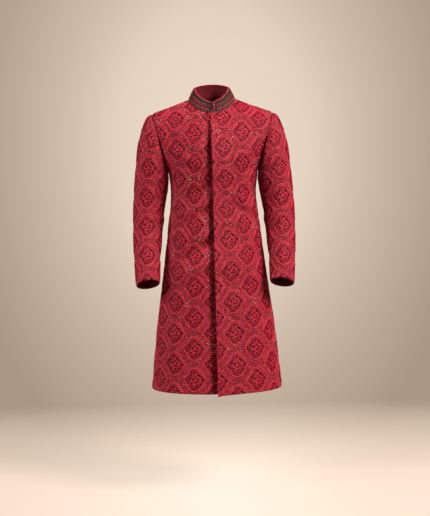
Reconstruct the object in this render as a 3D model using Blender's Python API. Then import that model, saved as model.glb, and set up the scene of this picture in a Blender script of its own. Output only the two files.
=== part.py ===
"""A knee-length sherwani coat in its worn, hollow form, with nobody in it.

Metres, +Z up. The front faces -Y, and the wearer's left is +X. The origin is the middle of the neck, level with
the points where the collar meets the shoulder seams, which is where the wearer's shoulders hold the coat up.

The body is a skirted tube of four panels that meet at the side seams, the shoulder seams and the centre back.
Each panel is lofted between two rails: the front edge or centre back, which runs on into the neckline, and the
side seam, which runs on into the armhole. Each sleeve is a tube from the armhole to the cuff, cut as an upper
and an under piece. The collar stands on the neckline and carries a stiff embroidered band.
"""

import math

import bmesh
import bpy
import numpy as np

# Cloth
WALL = 0.0020  # brocade with its backing
COLLAR_WALL = 0.0030  # stiffened stand collar
BAND_WALL = 0.0012  # embroidered band on the collar
SEAM_GAP = 0.0003  # between two pieces that are sewn together
COLLAR_SEAM_GAP = 0.00035  # the collar's share of the gap on the neckline, where two fronts lie together

# Heights and widths of the coat
HEM_Z = -1.100
ARMPIT_Z = -0.262
ARMPIT_X = 0.170
SHOULDER_TIP = (0.229, 0.000, -0.048)
ARMHOLE_HALF_DEPTH = 0.066
NECK_SIDE = (0.087, -0.004, 0.003)  # where the collar meets the shoulder seam
NECK_FRONT = (-0.080, -0.053)  # y and z of the centre front neck point
NECK_BACK = (0.064, 0.020)  # y and z of the centre back neck point
NECK_FALL = 1.3  # how the neckline falls from the shoulder to the centre

# The collar's top edge
COLLAR_TOP_SIDE = (0.0645, -0.002, 0.049)
COLLAR_TOP_FRONT = (-0.068, -0.007)
COLLAR_TOP_BACK = (0.052, 0.066)
COLLAR_MEET_X = 0.0046  # the line on which its two ends meet
COLLAR_POINT_DROP = 0.007  # how far its front corners are cut down
COLLAR_POINT_WIDTH = 0.012
COLLAR_SWELL = 0.0015
COLLAR_ROWS = (0.00, 0.06, 0.34, 0.62, 0.90, 1.00)  # shares of its height; the band lies between the inner ones
BAND_INSET = 0.0070  # bare collar at the overlapping end

# The overlapping fronts
LAP_TOP, LAP_HEM = 0.005, -0.003  # how far the upper front passes the centre, at the neck and at the hem
UNDERLAP, UNDERLAP_NECK = 0.028, 0.010  # the same for the front beneath it
LAP_STEP = 0.00145  # each front leaves the centre surface by this much where they overlap
LAP_CLEAR = 0.003  # how far past the other front's edge the overlap stays at full depth
LAP_FLARE = 0.0042  # how far the free lower edge of the upper front stands off
LAP_FADE = 0.055
LAP_HEM_DROP, LAP_HEM_REACH = 0.008, 0.060  # the upper front's corner hangs a little lower than the hem

# Grid sizes
SKIRT_ROWS = 18
YOKE_ROWS = 14
FRONT_NECK_ROW, BACK_NECK_ROW = 8, 9  # the yoke row at which the centre meets the neckline
COLUMNS = 11
LAP_COLUMNS = 2  # of them, those that a front has in its overlap
SLEEVE_RINGS = 20
FRONT_SLEEVE_SEAM, BACK_SLEEVE_SEAM = 5, 7  # columns of the sleeve's seams, counted from the underarm
ROW_SAMPLES = 48  # points used to measure a row's length

CLOTH = ("crimson_brocade", (0.42, 0.025, 0.05, 1.0), 0.75, 0.0)
TRIM = ("bronze_embroidery", (0.07, 0.045, 0.035, 1.0), 0.5, 0.35)


class Sections:
    """A short table of sections, read as one smooth curve for each named column."""

    def __init__(self, columns, rows):
        values = np.array(rows, float)
        self.key = values[:, 0]
        self.columns = {name: values[:, i] for i, name in enumerate(columns)}

    def read(self, name, where):
        """The column's value where the first column has the value asked for."""
        x, y = self.key, self.columns[name]
        slope = np.gradient(y, x)
        where = np.clip(where, x[0], x[-1])
        i = np.clip(np.searchsorted(x, where) - 1, 0, len(x) - 2)
        step = x[i + 1] - x[i]
        t = (where - x[i]) / step
        return (
            y[i] * (2 * t**3 - 3 * t**2 + 1)
            + y[i + 1] * (3 * t**2 - 2 * t**3)
            + step * slope[i] * (t**3 - 2 * t**2 + t)
            + step * slope[i + 1] * (t**3 - t**2)
        )


# The body from hem to armpit: half its width, and how far its front and back stand from the side seams.
BODY = Sections(
    ("z", "half_width", "front", "back"),
    (
        (-1.100, 0.2500, 0.1720, 0.1830),
        (-1.015, 0.2415, 0.1640, 0.1760),
        (-0.938, 0.2335, 0.1570, 0.1690),
        (-0.860, 0.2250, 0.1500, 0.1615),
        (-0.784, 0.2145, 0.1435, 0.1540),
        (-0.706, 0.2035, 0.1375, 0.1465),
        (-0.630, 0.1935, 0.1310, 0.1380),
        (-0.553, 0.1835, 0.1235, 0.1250),
        (-0.476, 0.1745, 0.1155, 0.1080),
        (-0.398, 0.1640, 0.1095, 0.0950),
        (-0.330, 0.1615, 0.1110, 0.1000),
        (-0.295, 0.1662, 0.1150, 0.1080),
        (-0.262, 0.1700, 0.1180, 0.1150),
    ),
)
FULLNESS_X, FULLNESS_Y = 0.60, 0.58  # 0.55 makes each row's quarter an ellipse, and more squares it
ROW_RISE = 0.30  # how evenly the rows above the armpit climb between their ends

# The centre front and centre back above the armpit, where the share of the way up to the neck is the first column.
CHEST = Sections(
    ("share", "y", "z"),
    (
        (0.00, -0.1180, -0.262),
        (0.25, -0.1176, -0.209),
        (0.50, -0.1117, -0.156),
        (0.75, -0.0992, -0.104),
        (1.00, -0.0800, -0.053),
    ),
)
BLADES = Sections(
    ("share", "y", "z"),
    (
        (0.00, 0.1150, -0.262),
        (0.25, 0.1215, -0.192),
        (0.50, 0.1180, -0.122),
        (0.75, 0.0990, -0.052),
        (1.00, 0.0640, 0.020),
    ),
)

# The sleeve: outer and inner edge seen from the front, its middle and half its depth from the side, how far its
# ring tips forward, and the angles round the ring, from the underarm, of the front and the back seam.
SLEEVE = Sections(
    ("station", "outer_x", "outer_z", "inner_x", "inner_z", "y", "half_depth", "tilt", "front_seam", "back_seam"),
    (
        (0, 0.2290, -0.048, 0.1700, -0.262, 0.000, 0.0660, 0, 64.3, 90),
        (1, 0.2430, -0.055, 0.1742, -0.268, 0.000, 0.0690, 0, 65.5, 91),
        (2, 0.2590, -0.082, 0.1742, -0.277, 0.000, 0.0715, 0, 67.0, 92),
        (3, 0.2745, -0.124, 0.1732, -0.288, 0.001, 0.0735, 0, 69.0, 94),
        (4, 0.2865, -0.175, 0.1725, -0.303, 0.003, 0.0745, 0, 71.0, 96),
        (5, 0.2935, -0.235, 0.1750, -0.327, 0.005, 0.0740, 1, 71.0, 98),
        (6, 0.3000, -0.298, 0.1830, -0.362, 0.006, 0.0720, 3, 69.0, 100),
        (7, 0.3055, -0.365, 0.1890, -0.408, 0.005, 0.0695, 6, 64.0, 99),
        (8, 0.3085, -0.432, 0.1945, -0.457, 0.000, 0.0665, 11, 59.0, 96),
        (9, 0.3090, -0.500, 0.2010, -0.512, -0.013, 0.0625, 16, 54.0, 91),
        (10, 0.3070, -0.567, 0.2060, -0.568, -0.032, 0.0585, 20, 50.0, 86),
        (11, 0.3025, -0.634, 0.2090, -0.628, -0.055, 0.0545, 23, 46.0, 80),
        (12, 0.2975, -0.699, 0.2100, -0.687, -0.079, 0.0505, 24, 42.0, 75),
    ),
)
SLEEVE_STATIONS = 12

# Soft folds of the body: the middle of each one's ridge, its direction down from the side, and its size.
FOLD_COLUMNS = ("x", "z", "slope", "length", "width", "height")
FRONT_FOLDS = (
    (0.075, -0.650, -0.55, 0.110, 0.020, 0.0034),
    (-0.060, -0.660, 0.60, 0.110, 0.021, 0.0032),
    (-0.040, -0.575, 0.45, 0.090, 0.024, -0.0036),
    (0.085, -0.705, -0.50, 0.090, 0.024, -0.0028),
    (-0.115, -0.185, -0.85, 0.085, 0.018, 0.0024),
    (0.120, -0.195, 0.80, 0.080, 0.020, 0.0020),
)
BACK_FOLDS = (
    (0.055, -0.390, 0.25, 0.085, 0.018, 0.0032),
    (-0.060, -0.400, -0.22, 0.090, 0.019, 0.0030),
    (0.050, -0.440, 0.30, 0.095, 0.021, -0.0030),
    (-0.055, -0.450, -0.30, 0.085, 0.020, -0.0030),
    (0.130, -0.180, 1.10, 0.090, 0.017, 0.0024),
    (-0.132, -0.175, -1.15, 0.085, 0.018, 0.0024),
)
# Creases of the sleeve: station, angle round the ring from the underarm (front is positive), and size in stations
# and degrees. The elbow's inside has the deepest.
SLEEVE_FOLD_COLUMNS = ("station", "angle", "length", "spread", "height")
SLEEVE_FOLDS = (
    (7.35, 30, 0.34, 62, -0.0030),
    (7.90, 42, 0.30, 58, 0.0026),
    (8.45, 25, 0.32, 55, -0.0024),
    (5.10, 50, 0.40, 45, -0.0022),
    (9.60, -70, 0.40, 50, 0.0020),
)


def smooth_step(x):
    """0 below 0, 1 above 1, and an S-shaped rise between."""
    x = np.clip(x, 0.0, 1.0)
    return x * x * (3.0 - 2.0 * x)


def blend(a, b, share):
    """From a to b, for arrays of points and an array of shares."""
    share = np.asarray(share)[..., None]
    return np.asarray(a) * (1 - share) + np.asarray(b) * share


def points(x, y, z):
    return np.stack(np.broadcast_arrays(np.asarray(x, float), y, z), axis=-1)


def neckline(angle, centre):
    """A point of the neckline: angle 0 is the centre front or back, and 90 degrees the shoulder seam."""
    side_x, side_y, side_z = NECK_SIDE
    centre_y, centre_z = centre
    near = np.maximum(np.cos(angle), 0.0)
    return points(
        side_x * np.sin(angle),
        side_y + (centre_y - side_y) * near,
        side_z + (centre_z - side_z) * near**NECK_FALL,
    )


def collar_top(angle, centre):
    """A point of the collar's top edge, at the neckline's angles."""
    side_x, side_y, side_z = COLLAR_TOP_SIDE
    centre_y, centre_z = centre
    near = np.maximum(np.cos(angle), 0.0)
    x = side_x * np.sin(angle)
    z = side_z + (centre_z - side_z) * near**NECK_FALL
    if centre_y < 0:
        z = z - COLLAR_POINT_DROP * np.exp(-np.abs(x) / COLLAR_POINT_WIDTH)
    return points(x, side_y + (centre_y - side_y) * near, z)


def armhole(angle, front):
    """A point of the armhole: angle 0 is the underarm, and 180 degrees the shoulder tip."""
    tip_x, _, tip_z = SHOULDER_TIP
    rise = (1 - np.cos(angle)) / 2
    side = -1.0 if front else 1.0
    return points(
        ARMPIT_X + (tip_x - ARMPIT_X) * rise,
        side * ARMHOLE_HALF_DEPTH * np.sin(angle),
        ARMPIT_Z + (tip_z - ARMPIT_Z) * rise,
    )


def panel_rails(level, front):
    """The ends and handles of the panel's rows. Level 0 is the hem, 1 the armpit and 2 the shoulder seam."""
    level = np.asarray(level, float)
    side = -1.0 if front else 1.0
    z = HEM_Z + (ARMPIT_Z - HEM_Z) * np.minimum(level, 1.0)
    width = BODY.read("half_width", z)
    depth = BODY.read("front" if front else "back", z) * side
    start = points(0.0, depth, z)
    end = points(width, 0.0, z)

    up = np.clip(level - 1.0, 0.0, 1.0)
    neck_share = (FRONT_NECK_ROW if front else BACK_NECK_ROW) / YOKE_ROWS
    profile = CHEST if front else BLADES
    share = np.minimum(up / neck_share, 1.0)
    angle = np.clip((up - neck_share) / (1 - neck_share), 0.0, 1.0) * math.pi / 2
    centre = points(0.0, profile.read("y", share), profile.read("z", share))
    yoke_start = np.where((up > neck_share)[:, None], neckline(angle, NECK_FRONT if front else NECK_BACK), centre)
    yoke_end = armhole(up * math.pi, front)
    yoke = (level > 1.0)[:, None]
    start = np.where(yoke, yoke_start, start)
    end = np.where(yoke, yoke_end, end)
    over, back, rise = (end - start).T
    seam = (np.array(SHOULDER_TIP) - np.array(NECK_SIDE)) / 3
    turn = smooth_step(up)
    start_handle = blend(points(FULLNESS_X * over, 0.0, ROW_RISE * rise), seam, turn)
    end_handle = blend(points(0.0, -FULLNESS_Y * back, -ROW_RISE * rise), -seam, turn)
    return start, start_handle, end, end_handle


def row_points(rails, distance_of):
    """Points along each row, at the distances from its start that distance_of gives for the row's whole length."""
    start, start_handle, end, end_handle = rails
    t = np.linspace(0.0, 1.0, ROW_SAMPLES + 1)[:, None]
    rows = []
    for p0, h0, p3, h3 in zip(start, start_handle, end, end_handle):
        p1, p2 = p0 + h0, p3 + h3
        curve = (1 - t) ** 3 * p0 + 3 * (1 - t) ** 2 * t * p1 + 3 * (1 - t) * t**2 * p2 + t**3 * p3
        along = np.concatenate([[0.0], np.cumsum(np.linalg.norm(np.diff(curve, axis=0), axis=1))])
        wanted = distance_of(len(rows), along[-1])
        row = np.stack([np.interp(np.abs(wanted), along, curve[:, k]) for k in range(3)], axis=1)
        row[wanted < 0, 0] *= -1  # past the centre the row is its own mirror image
        rows.append(row)
    return np.array(rows)


def panel_levels():
    skirt = np.linspace(0.0, 1.0, SKIRT_ROWS + 1)
    yoke = np.linspace(1.0, 2.0, YOKE_ROWS + 1)[1:]
    return np.concatenate([skirt, yoke])


def lap_edges(levels):
    """For each row, how far the upper and the lower front pass the centre line. Above the neck point it is 0."""
    neck = 1 + FRONT_NECK_ROW / YOKE_ROWS
    upper = LAP_HEM + (LAP_TOP - LAP_HEM) * np.minimum(levels / neck, 1.0)
    lower = UNDERLAP + (UNDERLAP_NECK - UNDERLAP) * smooth_step((levels - neck + 0.3) / 0.3)
    inside = levels <= neck + 1e-9
    return np.where(inside, upper, 0.0), np.where(inside, lower, 0.0)


def face_normals(grid):
    """Each cell's normal, which points out of the coat on a grid whose rows rise and columns run round from -Y."""
    across = grid[:-1, 1:] - grid[1:, :-1]
    along = grid[1:, 1:] - grid[:-1, :-1]
    return np.cross(across, along)


def grid_normals(grid):
    """Each point's own normal, from the cells round it."""
    cells = face_normals(grid)
    total = np.zeros_like(grid)
    for row, column in ((0, 0), (0, 1), (1, 0), (1, 1)):
        total[row : row + len(cells), column : column + cells.shape[1]] += cells
    return total / np.linalg.norm(total, axis=-1, keepdims=True)


def soft_fold(x, z, fold):
    """The height of one fold at points x, z: a ridge that fades along its length."""
    size = dict(zip(FOLD_COLUMNS, fold))
    run = np.hypot(1.0, size["slope"])
    dx, dz = x - size["x"], z - size["z"]
    along = (dx + dz * size["slope"]) / run
    across = (dz - dx * size["slope"]) / run
    return size["height"] * np.exp(-((along / size["length"]) ** 2) - (across / size["width"]) ** 2)


def lap_offset(x, z, upper, lower, is_upper):
    """How far a front leaves the centre surface so that the two fronts lie one on the other."""
    hang = smooth_step((ARMPIT_Z - z) / (ARMPIT_Z - HEM_Z))
    reach = np.minimum(LAP_FADE, 0.012 + 0.30 * np.maximum(NECK_FRONT[1] - z, 0.0))
    if is_upper:
        cover = 1 - smooth_step((x - lower - LAP_CLEAR) / reach)
        return (LAP_STEP + LAP_FLARE * hang * np.exp(-np.maximum(x + upper, 0) / 0.018)) * cover
    cover = smooth_step((x + upper + LAP_CLEAR + reach) / reach)
    return -LAP_STEP * cover


def front_grid(side):
    """The middle surface of one front. side is +1 for the wearer's left, which laps over, and -1 for the right."""
    levels = panel_levels()
    upper, lower = lap_edges(levels)
    edge, other = (upper, lower) if side > 0 else (lower, upper)

    def distances(row, length):
        if edge[row] == other[row]:
            return np.linspace(0.0, length, COLUMNS + 1)
        lapped = np.linspace(-edge[row], other[row] + LAP_CLEAR, LAP_COLUMNS + 1)
        return np.concatenate([lapped, np.linspace(lapped[-1], length, COLUMNS - LAP_COLUMNS + 1)[1:]])

    grid = row_points(panel_rails(levels, True), distances)
    normals = grid_normals(grid)
    grid[..., 0] *= side
    normals[..., 0] *= side
    x, z = grid[..., 0], grid[..., 2]
    offset = lap_offset(x, z, upper[:, None], lower[:, None], side > 0)
    offset = offset + sum(soft_fold(x, z, fold) for fold in FRONT_FOLDS) * seam_fade(levels, grid.shape[1])
    if side > 0:
        hang = np.clip(1 - levels * 3, 0.0, 1.0)[:, None] * np.exp(-np.maximum(x, 0) / LAP_HEM_REACH)
        grid[..., 2] -= LAP_HEM_DROP * hang
    return grid + normals * offset[..., None]


def seam_fade(levels, columns):
    """1 inside a panel and 0 on its outer seam and shoulder seam, so that neighbours keep one edge."""
    across = np.minimum((columns - 1 - np.arange(columns)) / 2.0, 1.0)
    up = np.clip((2.0 - levels) * YOKE_ROWS / 3.0, 0.0, 1.0)
    return smooth_step(across)[None, :] * smooth_step(up)[:, None]


def back_grid(side):
    """The middle surface of one half of the back."""
    levels = panel_levels()

    def distances(row, length):
        return np.linspace(0.0, length, COLUMNS + 1)

    grid = row_points(panel_rails(levels, False), distances)
    normals = -grid_normals(grid)
    grid[..., 0] *= side
    normals[..., 0] *= side
    x, z = grid[..., 0], grid[..., 2]
    centre_fade = np.minimum(np.arange(grid.shape[1]) / 2.0, 1.0)[None, :]
    offset = sum(soft_fold(x, z, fold) for fold in BACK_FOLDS)
    offset = offset * seam_fade(levels, grid.shape[1]) * smooth_step(centre_fade)
    return grid + normals * offset[..., None]


def sleeve_stations():
    """Ring places, closer together over the sleeve head, where the cloth turns most."""
    even = np.linspace(0.0, 1.0, SLEEVE_RINGS + 1)
    return SLEEVE_STATIONS * even


def sleeve_angles(station):
    """The angles round one ring, from the underarm to the shoulder by the front, then by the back."""
    front_seam = math.radians(float(SLEEVE.read("front_seam", station)))
    back_seam = math.radians(float(SLEEVE.read("back_seam", station)))
    halves = []
    for seam, column in ((front_seam, FRONT_SLEEVE_SEAM), (back_seam, BACK_SLEEVE_SEAM)):
        even = math.pi * np.arange(YOKE_ROWS + 1) / YOKE_ROWS
        low, high = even[: column + 1], even[column:]
        upper = seam + (high - high[0]) * (math.pi - seam) / (math.pi - high[0])
        turned = np.concatenate([low * seam / low[-1], upper[1:]])
        ease = smooth_step(station / 1.0)
        halves.append(even * (1 - ease) + turned * ease)
    return halves


def sleeve_ring(station, angles, front):
    """Points of one ring of the left sleeve, on its front or back half."""
    read = {name: float(SLEEVE.read(name, station)) for name in SLEEVE.columns}
    outer = np.array([read["outer_x"], read["y"], read["outer_z"]])
    inner = np.array([read["inner_x"], read["y"], read["inner_z"]])
    tilt = math.radians(read["tilt"])
    side = 1.0 if front else -1.0
    forward = side * read["half_depth"] * np.array([0.0, -math.cos(tilt), math.sin(tilt)])
    rise = (1 - np.cos(angles)) / 2
    ring = blend(inner, outer, rise) + np.sin(angles)[:, None] * forward
    centre = (outer + inner) / 2
    away = ring - centre
    away /= np.linalg.norm(away, axis=1, keepdims=True)
    height = np.zeros(len(angles))
    for fold in SLEEVE_FOLDS:
        size = dict(zip(SLEEVE_FOLD_COLUMNS, fold))
        turn = side * np.degrees(angles) - size["angle"]
        height += size["height"] * np.exp(
            -((station - size["station"]) / size["length"]) ** 2 - (turn / size["spread"]) ** 2
        )
    return ring + away * height[:, None]


def sleeve_grids():
    """The middle surfaces of the left sleeve's under and upper piece. Rows run down the sleeve."""
    under, upper = [], []
    for station in sleeve_stations():
        front_angles, back_angles = sleeve_angles(station)
        front = sleeve_ring(station, front_angles, True)
        back = sleeve_ring(station, back_angles, False)
        under.append(np.concatenate([front[FRONT_SLEEVE_SEAM:0:-1], back[: BACK_SLEEVE_SEAM + 1]]))
        upper.append(np.concatenate([front[FRONT_SLEEVE_SEAM:], back[-2 : BACK_SLEEVE_SEAM - 1 : -1]]))
    return np.array(under), np.array(upper)


def collar_columns():
    """(angle, at the front, side) round the neckline, from the left front's neck point round the back to it again."""
    front = np.linspace(0, math.pi / 2, YOKE_ROWS - FRONT_NECK_ROW + 1)
    back = np.linspace(0, math.pi / 2, YOKE_ROWS - BACK_NECK_ROW + 1)
    left = [(angle, True, 1) for angle in front] + [(angle, False, 1) for angle in back[-2::-1]]
    right = [(angle, False, -1) for angle in back[1:]] + [(angle, True, -1) for angle in front[-2::-1]]
    return left + right


def collar_point(angle, is_front, side, share):
    """A point of the collar's middle surface, with share 0 on the neckline and 1 on its top edge."""
    low = neckline(np.array(angle), NECK_FRONT if is_front else NECK_BACK)
    high = collar_top(np.array(angle), COLLAR_TOP_FRONT if is_front else COLLAR_TOP_BACK)
    point = low + (high - low) * share
    out = np.array([low[0], low[1], 0.0])
    point = point + out / np.linalg.norm(out) * COLLAR_SWELL * math.sin(math.pi * share)
    point[0] *= side
    return point


def collar_grid():
    """The collar's middle surface. Its ends, and the band's at the overlapping end, lie on its first two columns."""
    columns = collar_columns()
    rows = []
    for share in COLLAR_ROWS:
        row = [collar_point(*column, share) for column in columns]
        across = row[1][0] - row[0][0]
        ends = [(COLLAR_MEET_X + shift) / across for shift in (SEAM_GAP, SEAM_GAP + BAND_INSET, -SEAM_GAP)]
        left, band, right = (row[0] + (row[1] - row[0]) * share_across for share_across in ends)
        rows.append([left, band] + row[1:] + [right])
    return np.array(rows)


def shared_normals(grids):
    """Each grid's point normals. Points that two grids share get one normal, so that their edges meet squarely."""
    total = {}
    keys = {}
    for name, grid in grids.items():
        keys[name] = [[tuple(np.round(point * 1e5).astype(int)) for point in row] for row in grid]
        cells = face_normals(grid)
        cells = cells / np.maximum(np.linalg.norm(cells, axis=-1, keepdims=True), 1e-12)
        for i in range(cells.shape[0]):
            for j in range(cells.shape[1]):
                for key in (keys[name][i][j], keys[name][i + 1][j], keys[name][i][j + 1], keys[name][i + 1][j + 1]):
                    total[key] = total.get(key, 0.0) + cells[i, j]
    return {
        name: np.array([[total[key] / np.linalg.norm(total[key]) for key in row] for row in keys[name]])
        for name in grids
    }


def drawn_in(grid, normals, by):
    """The grid with its outer points moved into the piece, along the cloth, which leaves the seam's gap."""
    moved = grid.copy()
    first, last = np.s_[0, :], np.s_[-1, :]
    columns = ((np.s_[:, 0], np.s_[:, 1]), (np.s_[:, -1], np.s_[:, -2]))
    for edge, inner in ((first, np.s_[1, :]), (last, np.s_[-2, :])) + columns:
        line, unit = grid[edge], normals[edge]
        tangent = np.gradient(line, axis=0)
        into = np.cross(tangent, unit)
        into /= np.maximum(np.linalg.norm(into, axis=-1, keepdims=True), 1e-12)
        facing = np.sign(np.sum(into * (grid[inner] - line), axis=-1, keepdims=True))
        moved[edge] += into * facing * by
    return moved


def split(a, b, c, d, turned):
    """A four-sided face as two triangles. turned picks the diagonal from b to d."""
    return ((a, b, d), (b, c, d)) if turned else ((a, b, c), (a, c, d))


def raised_diagonals(grid):
    """For each cell, whether the diagonal that starts one column along is the one that lies further out."""
    first = grid[:-1, :-1] + grid[1:, 1:]
    second = grid[:-1, 1:] + grid[1:, :-1]
    return np.sum((second - first) * face_normals(grid), axis=-1) > 0


def wall_object(name, grid, normals, low, high, material):
    """One piece of cloth: the grid's surface from low to high along its normals, closed round its edges."""
    rows, columns = grid.shape[:2]
    mesh = bmesh.new()
    layers = [
        [[mesh.verts.new(grid[i, j] + normals[i, j] * height) for j in range(columns)] for i in range(rows)]
        for height in (low, high)
    ]
    inner, outer = layers
    turned = raised_diagonals(grid)
    for i in range(rows - 1):
        for j in range(columns - 1):
            for layer, facing in ((outer, 1), (inner, -1)):
                cell = (layer[i][j], layer[i][j + 1], layer[i + 1][j + 1], layer[i + 1][j])
                for triangle in split(*cell, turned[i, j]):
                    mesh.faces.new(triangle[::facing])
    border = [(0, j) for j in range(columns)]
    border += [(i, columns - 1) for i in range(1, rows)]
    border += [(rows - 1, j) for j in range(columns - 2, -1, -1)]
    border += [(i, 0) for i in range(rows - 2, 0, -1)]
    for (i, j), (k, m) in zip(border, border[1:] + border[:1]):
        end = (outer[i][j], inner[i][j], inner[k][m], outer[k][m])
        # Both sides of a seam split their end faces alike: from the outer point of the higher end.
        for triangle in split(*end, turned=grid[i, j, 2] < grid[k, m, 2]):
            mesh.faces.new(triangle)
    bmesh.ops.recalc_face_normals(mesh, faces=mesh.faces)
    data = bpy.data.meshes.new(name)
    mesh.to_mesh(data)
    mesh.free()
    data.materials.append(material)
    data.shade_smooth()
    data.set_sharp_from_angle(angle=math.radians(50))
    made = bpy.data.objects.new(name, data)
    bpy.context.scene.collection.objects.link(made)
    return made


def mirrored(grid):
    """The other side's copy, with its columns turned round so that its normals still point out."""
    copy = grid[:, ::-1].copy()
    copy[..., 0] *= -1
    return copy


def make_material(name, colour, roughness, metallic):
    material = bpy.data.materials.new(name)
    material.use_nodes = True
    shader = material.node_tree.nodes["Principled BSDF"]
    shader.inputs["Base Color"].default_value = colour
    shader.inputs["Roughness"].default_value = roughness
    shader.inputs["Metallic"].default_value = metallic
    return material


def clear_scene():
    for obj in list(bpy.data.objects):
        bpy.data.objects.remove(obj)


def body_grids():
    """Every sewn piece's middle surface, by name, each with its normals pointing out of the coat."""
    under, upper = sleeve_grids()
    return {
        "front_left": front_grid(1.0),
        "front_right": front_grid(-1.0)[:, ::-1],
        "back_left": back_grid(1.0)[:, ::-1],
        "back_right": back_grid(-1.0),
        "sleeve_upper_left": upper[::-1],
        "sleeve_under_left": under[::-1, ::-1],
        "sleeve_upper_right": mirrored(upper[::-1]),
        "sleeve_under_right": mirrored(under[::-1, ::-1]),
        "collar": collar_grid(),
    }


def main():
    clear_scene()
    cloth, trim = make_material(*CLOTH), make_material(*TRIM)
    grids = body_grids()
    normals = shared_normals(grids)
    for name, grid in grids.items():
        half = (COLLAR_WALL if name == "collar" else WALL) / 2
        gap = COLLAR_SEAM_GAP if name == "collar" else SEAM_GAP / 2
        wall_object(name, drawn_in(grid, normals[name], gap), normals[name], -half, half, cloth)
    low = COLLAR_WALL / 2 + SEAM_GAP
    band, band_normals = grids["collar"][1:-1, 1:], normals["collar"][1:-1, 1:]
    wall_object("collar_embroidery", band, band_normals, low, low + BAND_WALL, trim)


main()
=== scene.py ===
"""The looks of the sherwani coat: crimson cloth with raised ogee medallions, and a bronze band on the stand collar.

+Z up, front towards -Y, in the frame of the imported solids. Every cloth piece is a thin closed shell on the
form of its solid, worked out again here from the same named sizes on a finer grid, with finer creases. The
embroidery is laid out in each panel's own cloth coordinates, in metres, and raised from its surface.
"""

import math

import bpy
import numpy as np
from mathutils import Matrix


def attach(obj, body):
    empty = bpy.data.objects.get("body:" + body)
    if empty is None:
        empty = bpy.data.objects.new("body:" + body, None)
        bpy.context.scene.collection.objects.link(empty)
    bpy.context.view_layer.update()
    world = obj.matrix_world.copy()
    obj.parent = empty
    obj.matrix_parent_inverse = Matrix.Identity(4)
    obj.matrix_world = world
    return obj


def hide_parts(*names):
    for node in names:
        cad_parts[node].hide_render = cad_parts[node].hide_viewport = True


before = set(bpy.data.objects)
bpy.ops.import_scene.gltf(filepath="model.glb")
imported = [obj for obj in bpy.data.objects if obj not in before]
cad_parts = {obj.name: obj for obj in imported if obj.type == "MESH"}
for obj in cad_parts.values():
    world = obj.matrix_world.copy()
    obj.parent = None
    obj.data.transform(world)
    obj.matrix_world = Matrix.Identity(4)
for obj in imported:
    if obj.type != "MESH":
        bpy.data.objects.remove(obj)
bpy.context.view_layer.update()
RNG = np.random.default_rng(7)
MM = 0.001  # the tables of shapes and the stitches are in millimetres, and all else in metres

# Cloth
WALL = 0.0020
COLLAR_WALL = 0.0030
SEAM_GAP = 0.0003

# Heights and widths of the coat
HEM_Z = -1.100
ARMPIT_Z = -0.262
ARMPIT_X = 0.170
SHOULDER_TIP = (0.229, 0.000, -0.048)
ARMHOLE_HALF_DEPTH = 0.066
NECK_SIDE = (0.087, -0.004, 0.003)
NECK_FRONT = (-0.080, -0.053)
NECK_BACK = (0.064, 0.020)
NECK_FALL = 1.3

# The collar's top edge
COLLAR_TOP_SIDE = (0.0645, -0.002, 0.049)
COLLAR_TOP_FRONT = (-0.068, -0.007)
COLLAR_TOP_BACK = (0.052, 0.066)
COLLAR_MEET_X = 0.0046
COLLAR_POINT_DROP = 0.007
COLLAR_POINT_WIDTH = 0.012
COLLAR_SWELL = 0.0015
COLLAR_TUCK = 0.035  # the share of its height that the collar reaches below the neckline, into the seam
BAND_LOW, BAND_HIGH = 0.06, 0.95
BAND_INSET = 0.0070

# The overlapping fronts
LAP_TOP, LAP_HEM = 0.005, -0.003
UNDERLAP, UNDERLAP_NECK = 0.028, 0.010
UNDERLAP_EASE = 0.3  # the levels below the neck over which the underlap narrows
LAP_STEP = 0.00145
LAP_CLEAR = 0.003
LAP_FLARE, LAP_FLARE_REACH = 0.0042, 0.018
LAP_FADE, LAP_NECK_FADE, LAP_FADE_GROWTH = 0.055, 0.012, 0.30  # the widest fade, the fade at the neck, and its growth
LAP_HEM_DROP, LAP_HEM_REACH, LAP_HEM_LEVELS = 0.008, 0.060, 3
LAP_DIP, LAP_DIP_WIDTH, LAP_DIP_WAVES = 0.0098, 0.0155, 23.0
LAP_DIP_START, LAP_DIP_RUN, LAP_DIP_EVEN = 0.004, 0.05, 0.75
LAP_LIFT, LAP_LIFT_REACH = 0.0105, 0.026
LAP_LIFT_STARTS = ((0.35, 0.0, 0.02), (0.65, 0.03, 0.12))  # shares of the lift, and where below the neck each grows

# The groove of the armhole seam: its depth at the shoulder, what the front gains towards the underarm, and how far
# it reaches into the panels and into the sleeve
GROOVE, GROOVE_GAIN, GROOVE_REACH = 0.0034, 0.0048, (0.0048, 0.0085)
GROOVE_BACK_Y = 0.02  # the gain fades out between this far in front of the middle and this far behind it
GROOVE_GAIN_TOP, GROOVE_START = (0.15, 0.6), 0.08  # shares of the armhole's height

# Grid sizes: the solids' own, times FINE
FINE = 5
SKIRT_ROWS = 18 * FINE
YOKE_ROWS = 14 * FINE
FRONT_NECK_ROW, BACK_NECK_ROW = 8 * FINE, 9 * FINE
COLUMNS = 11 * FINE
LAP_COLUMNS = 2 * FINE
SLEEVE_RINGS = 20 * FINE
FRONT_SLEEVE_SEAM, BACK_SLEEVE_SEAM = 5 * FINE, 7 * FINE
LAP_EASE_ROWS = 6 * FINE  # the rows below the neck over which the lap's columns spread out again
SIDE_FADE, TOP_FADE = 2 * FINE, 3 * FINE  # how near a side or shoulder seam the folds fade out
COLLAR_LEVELS = 18
ROW_SAMPLES = 400


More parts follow.
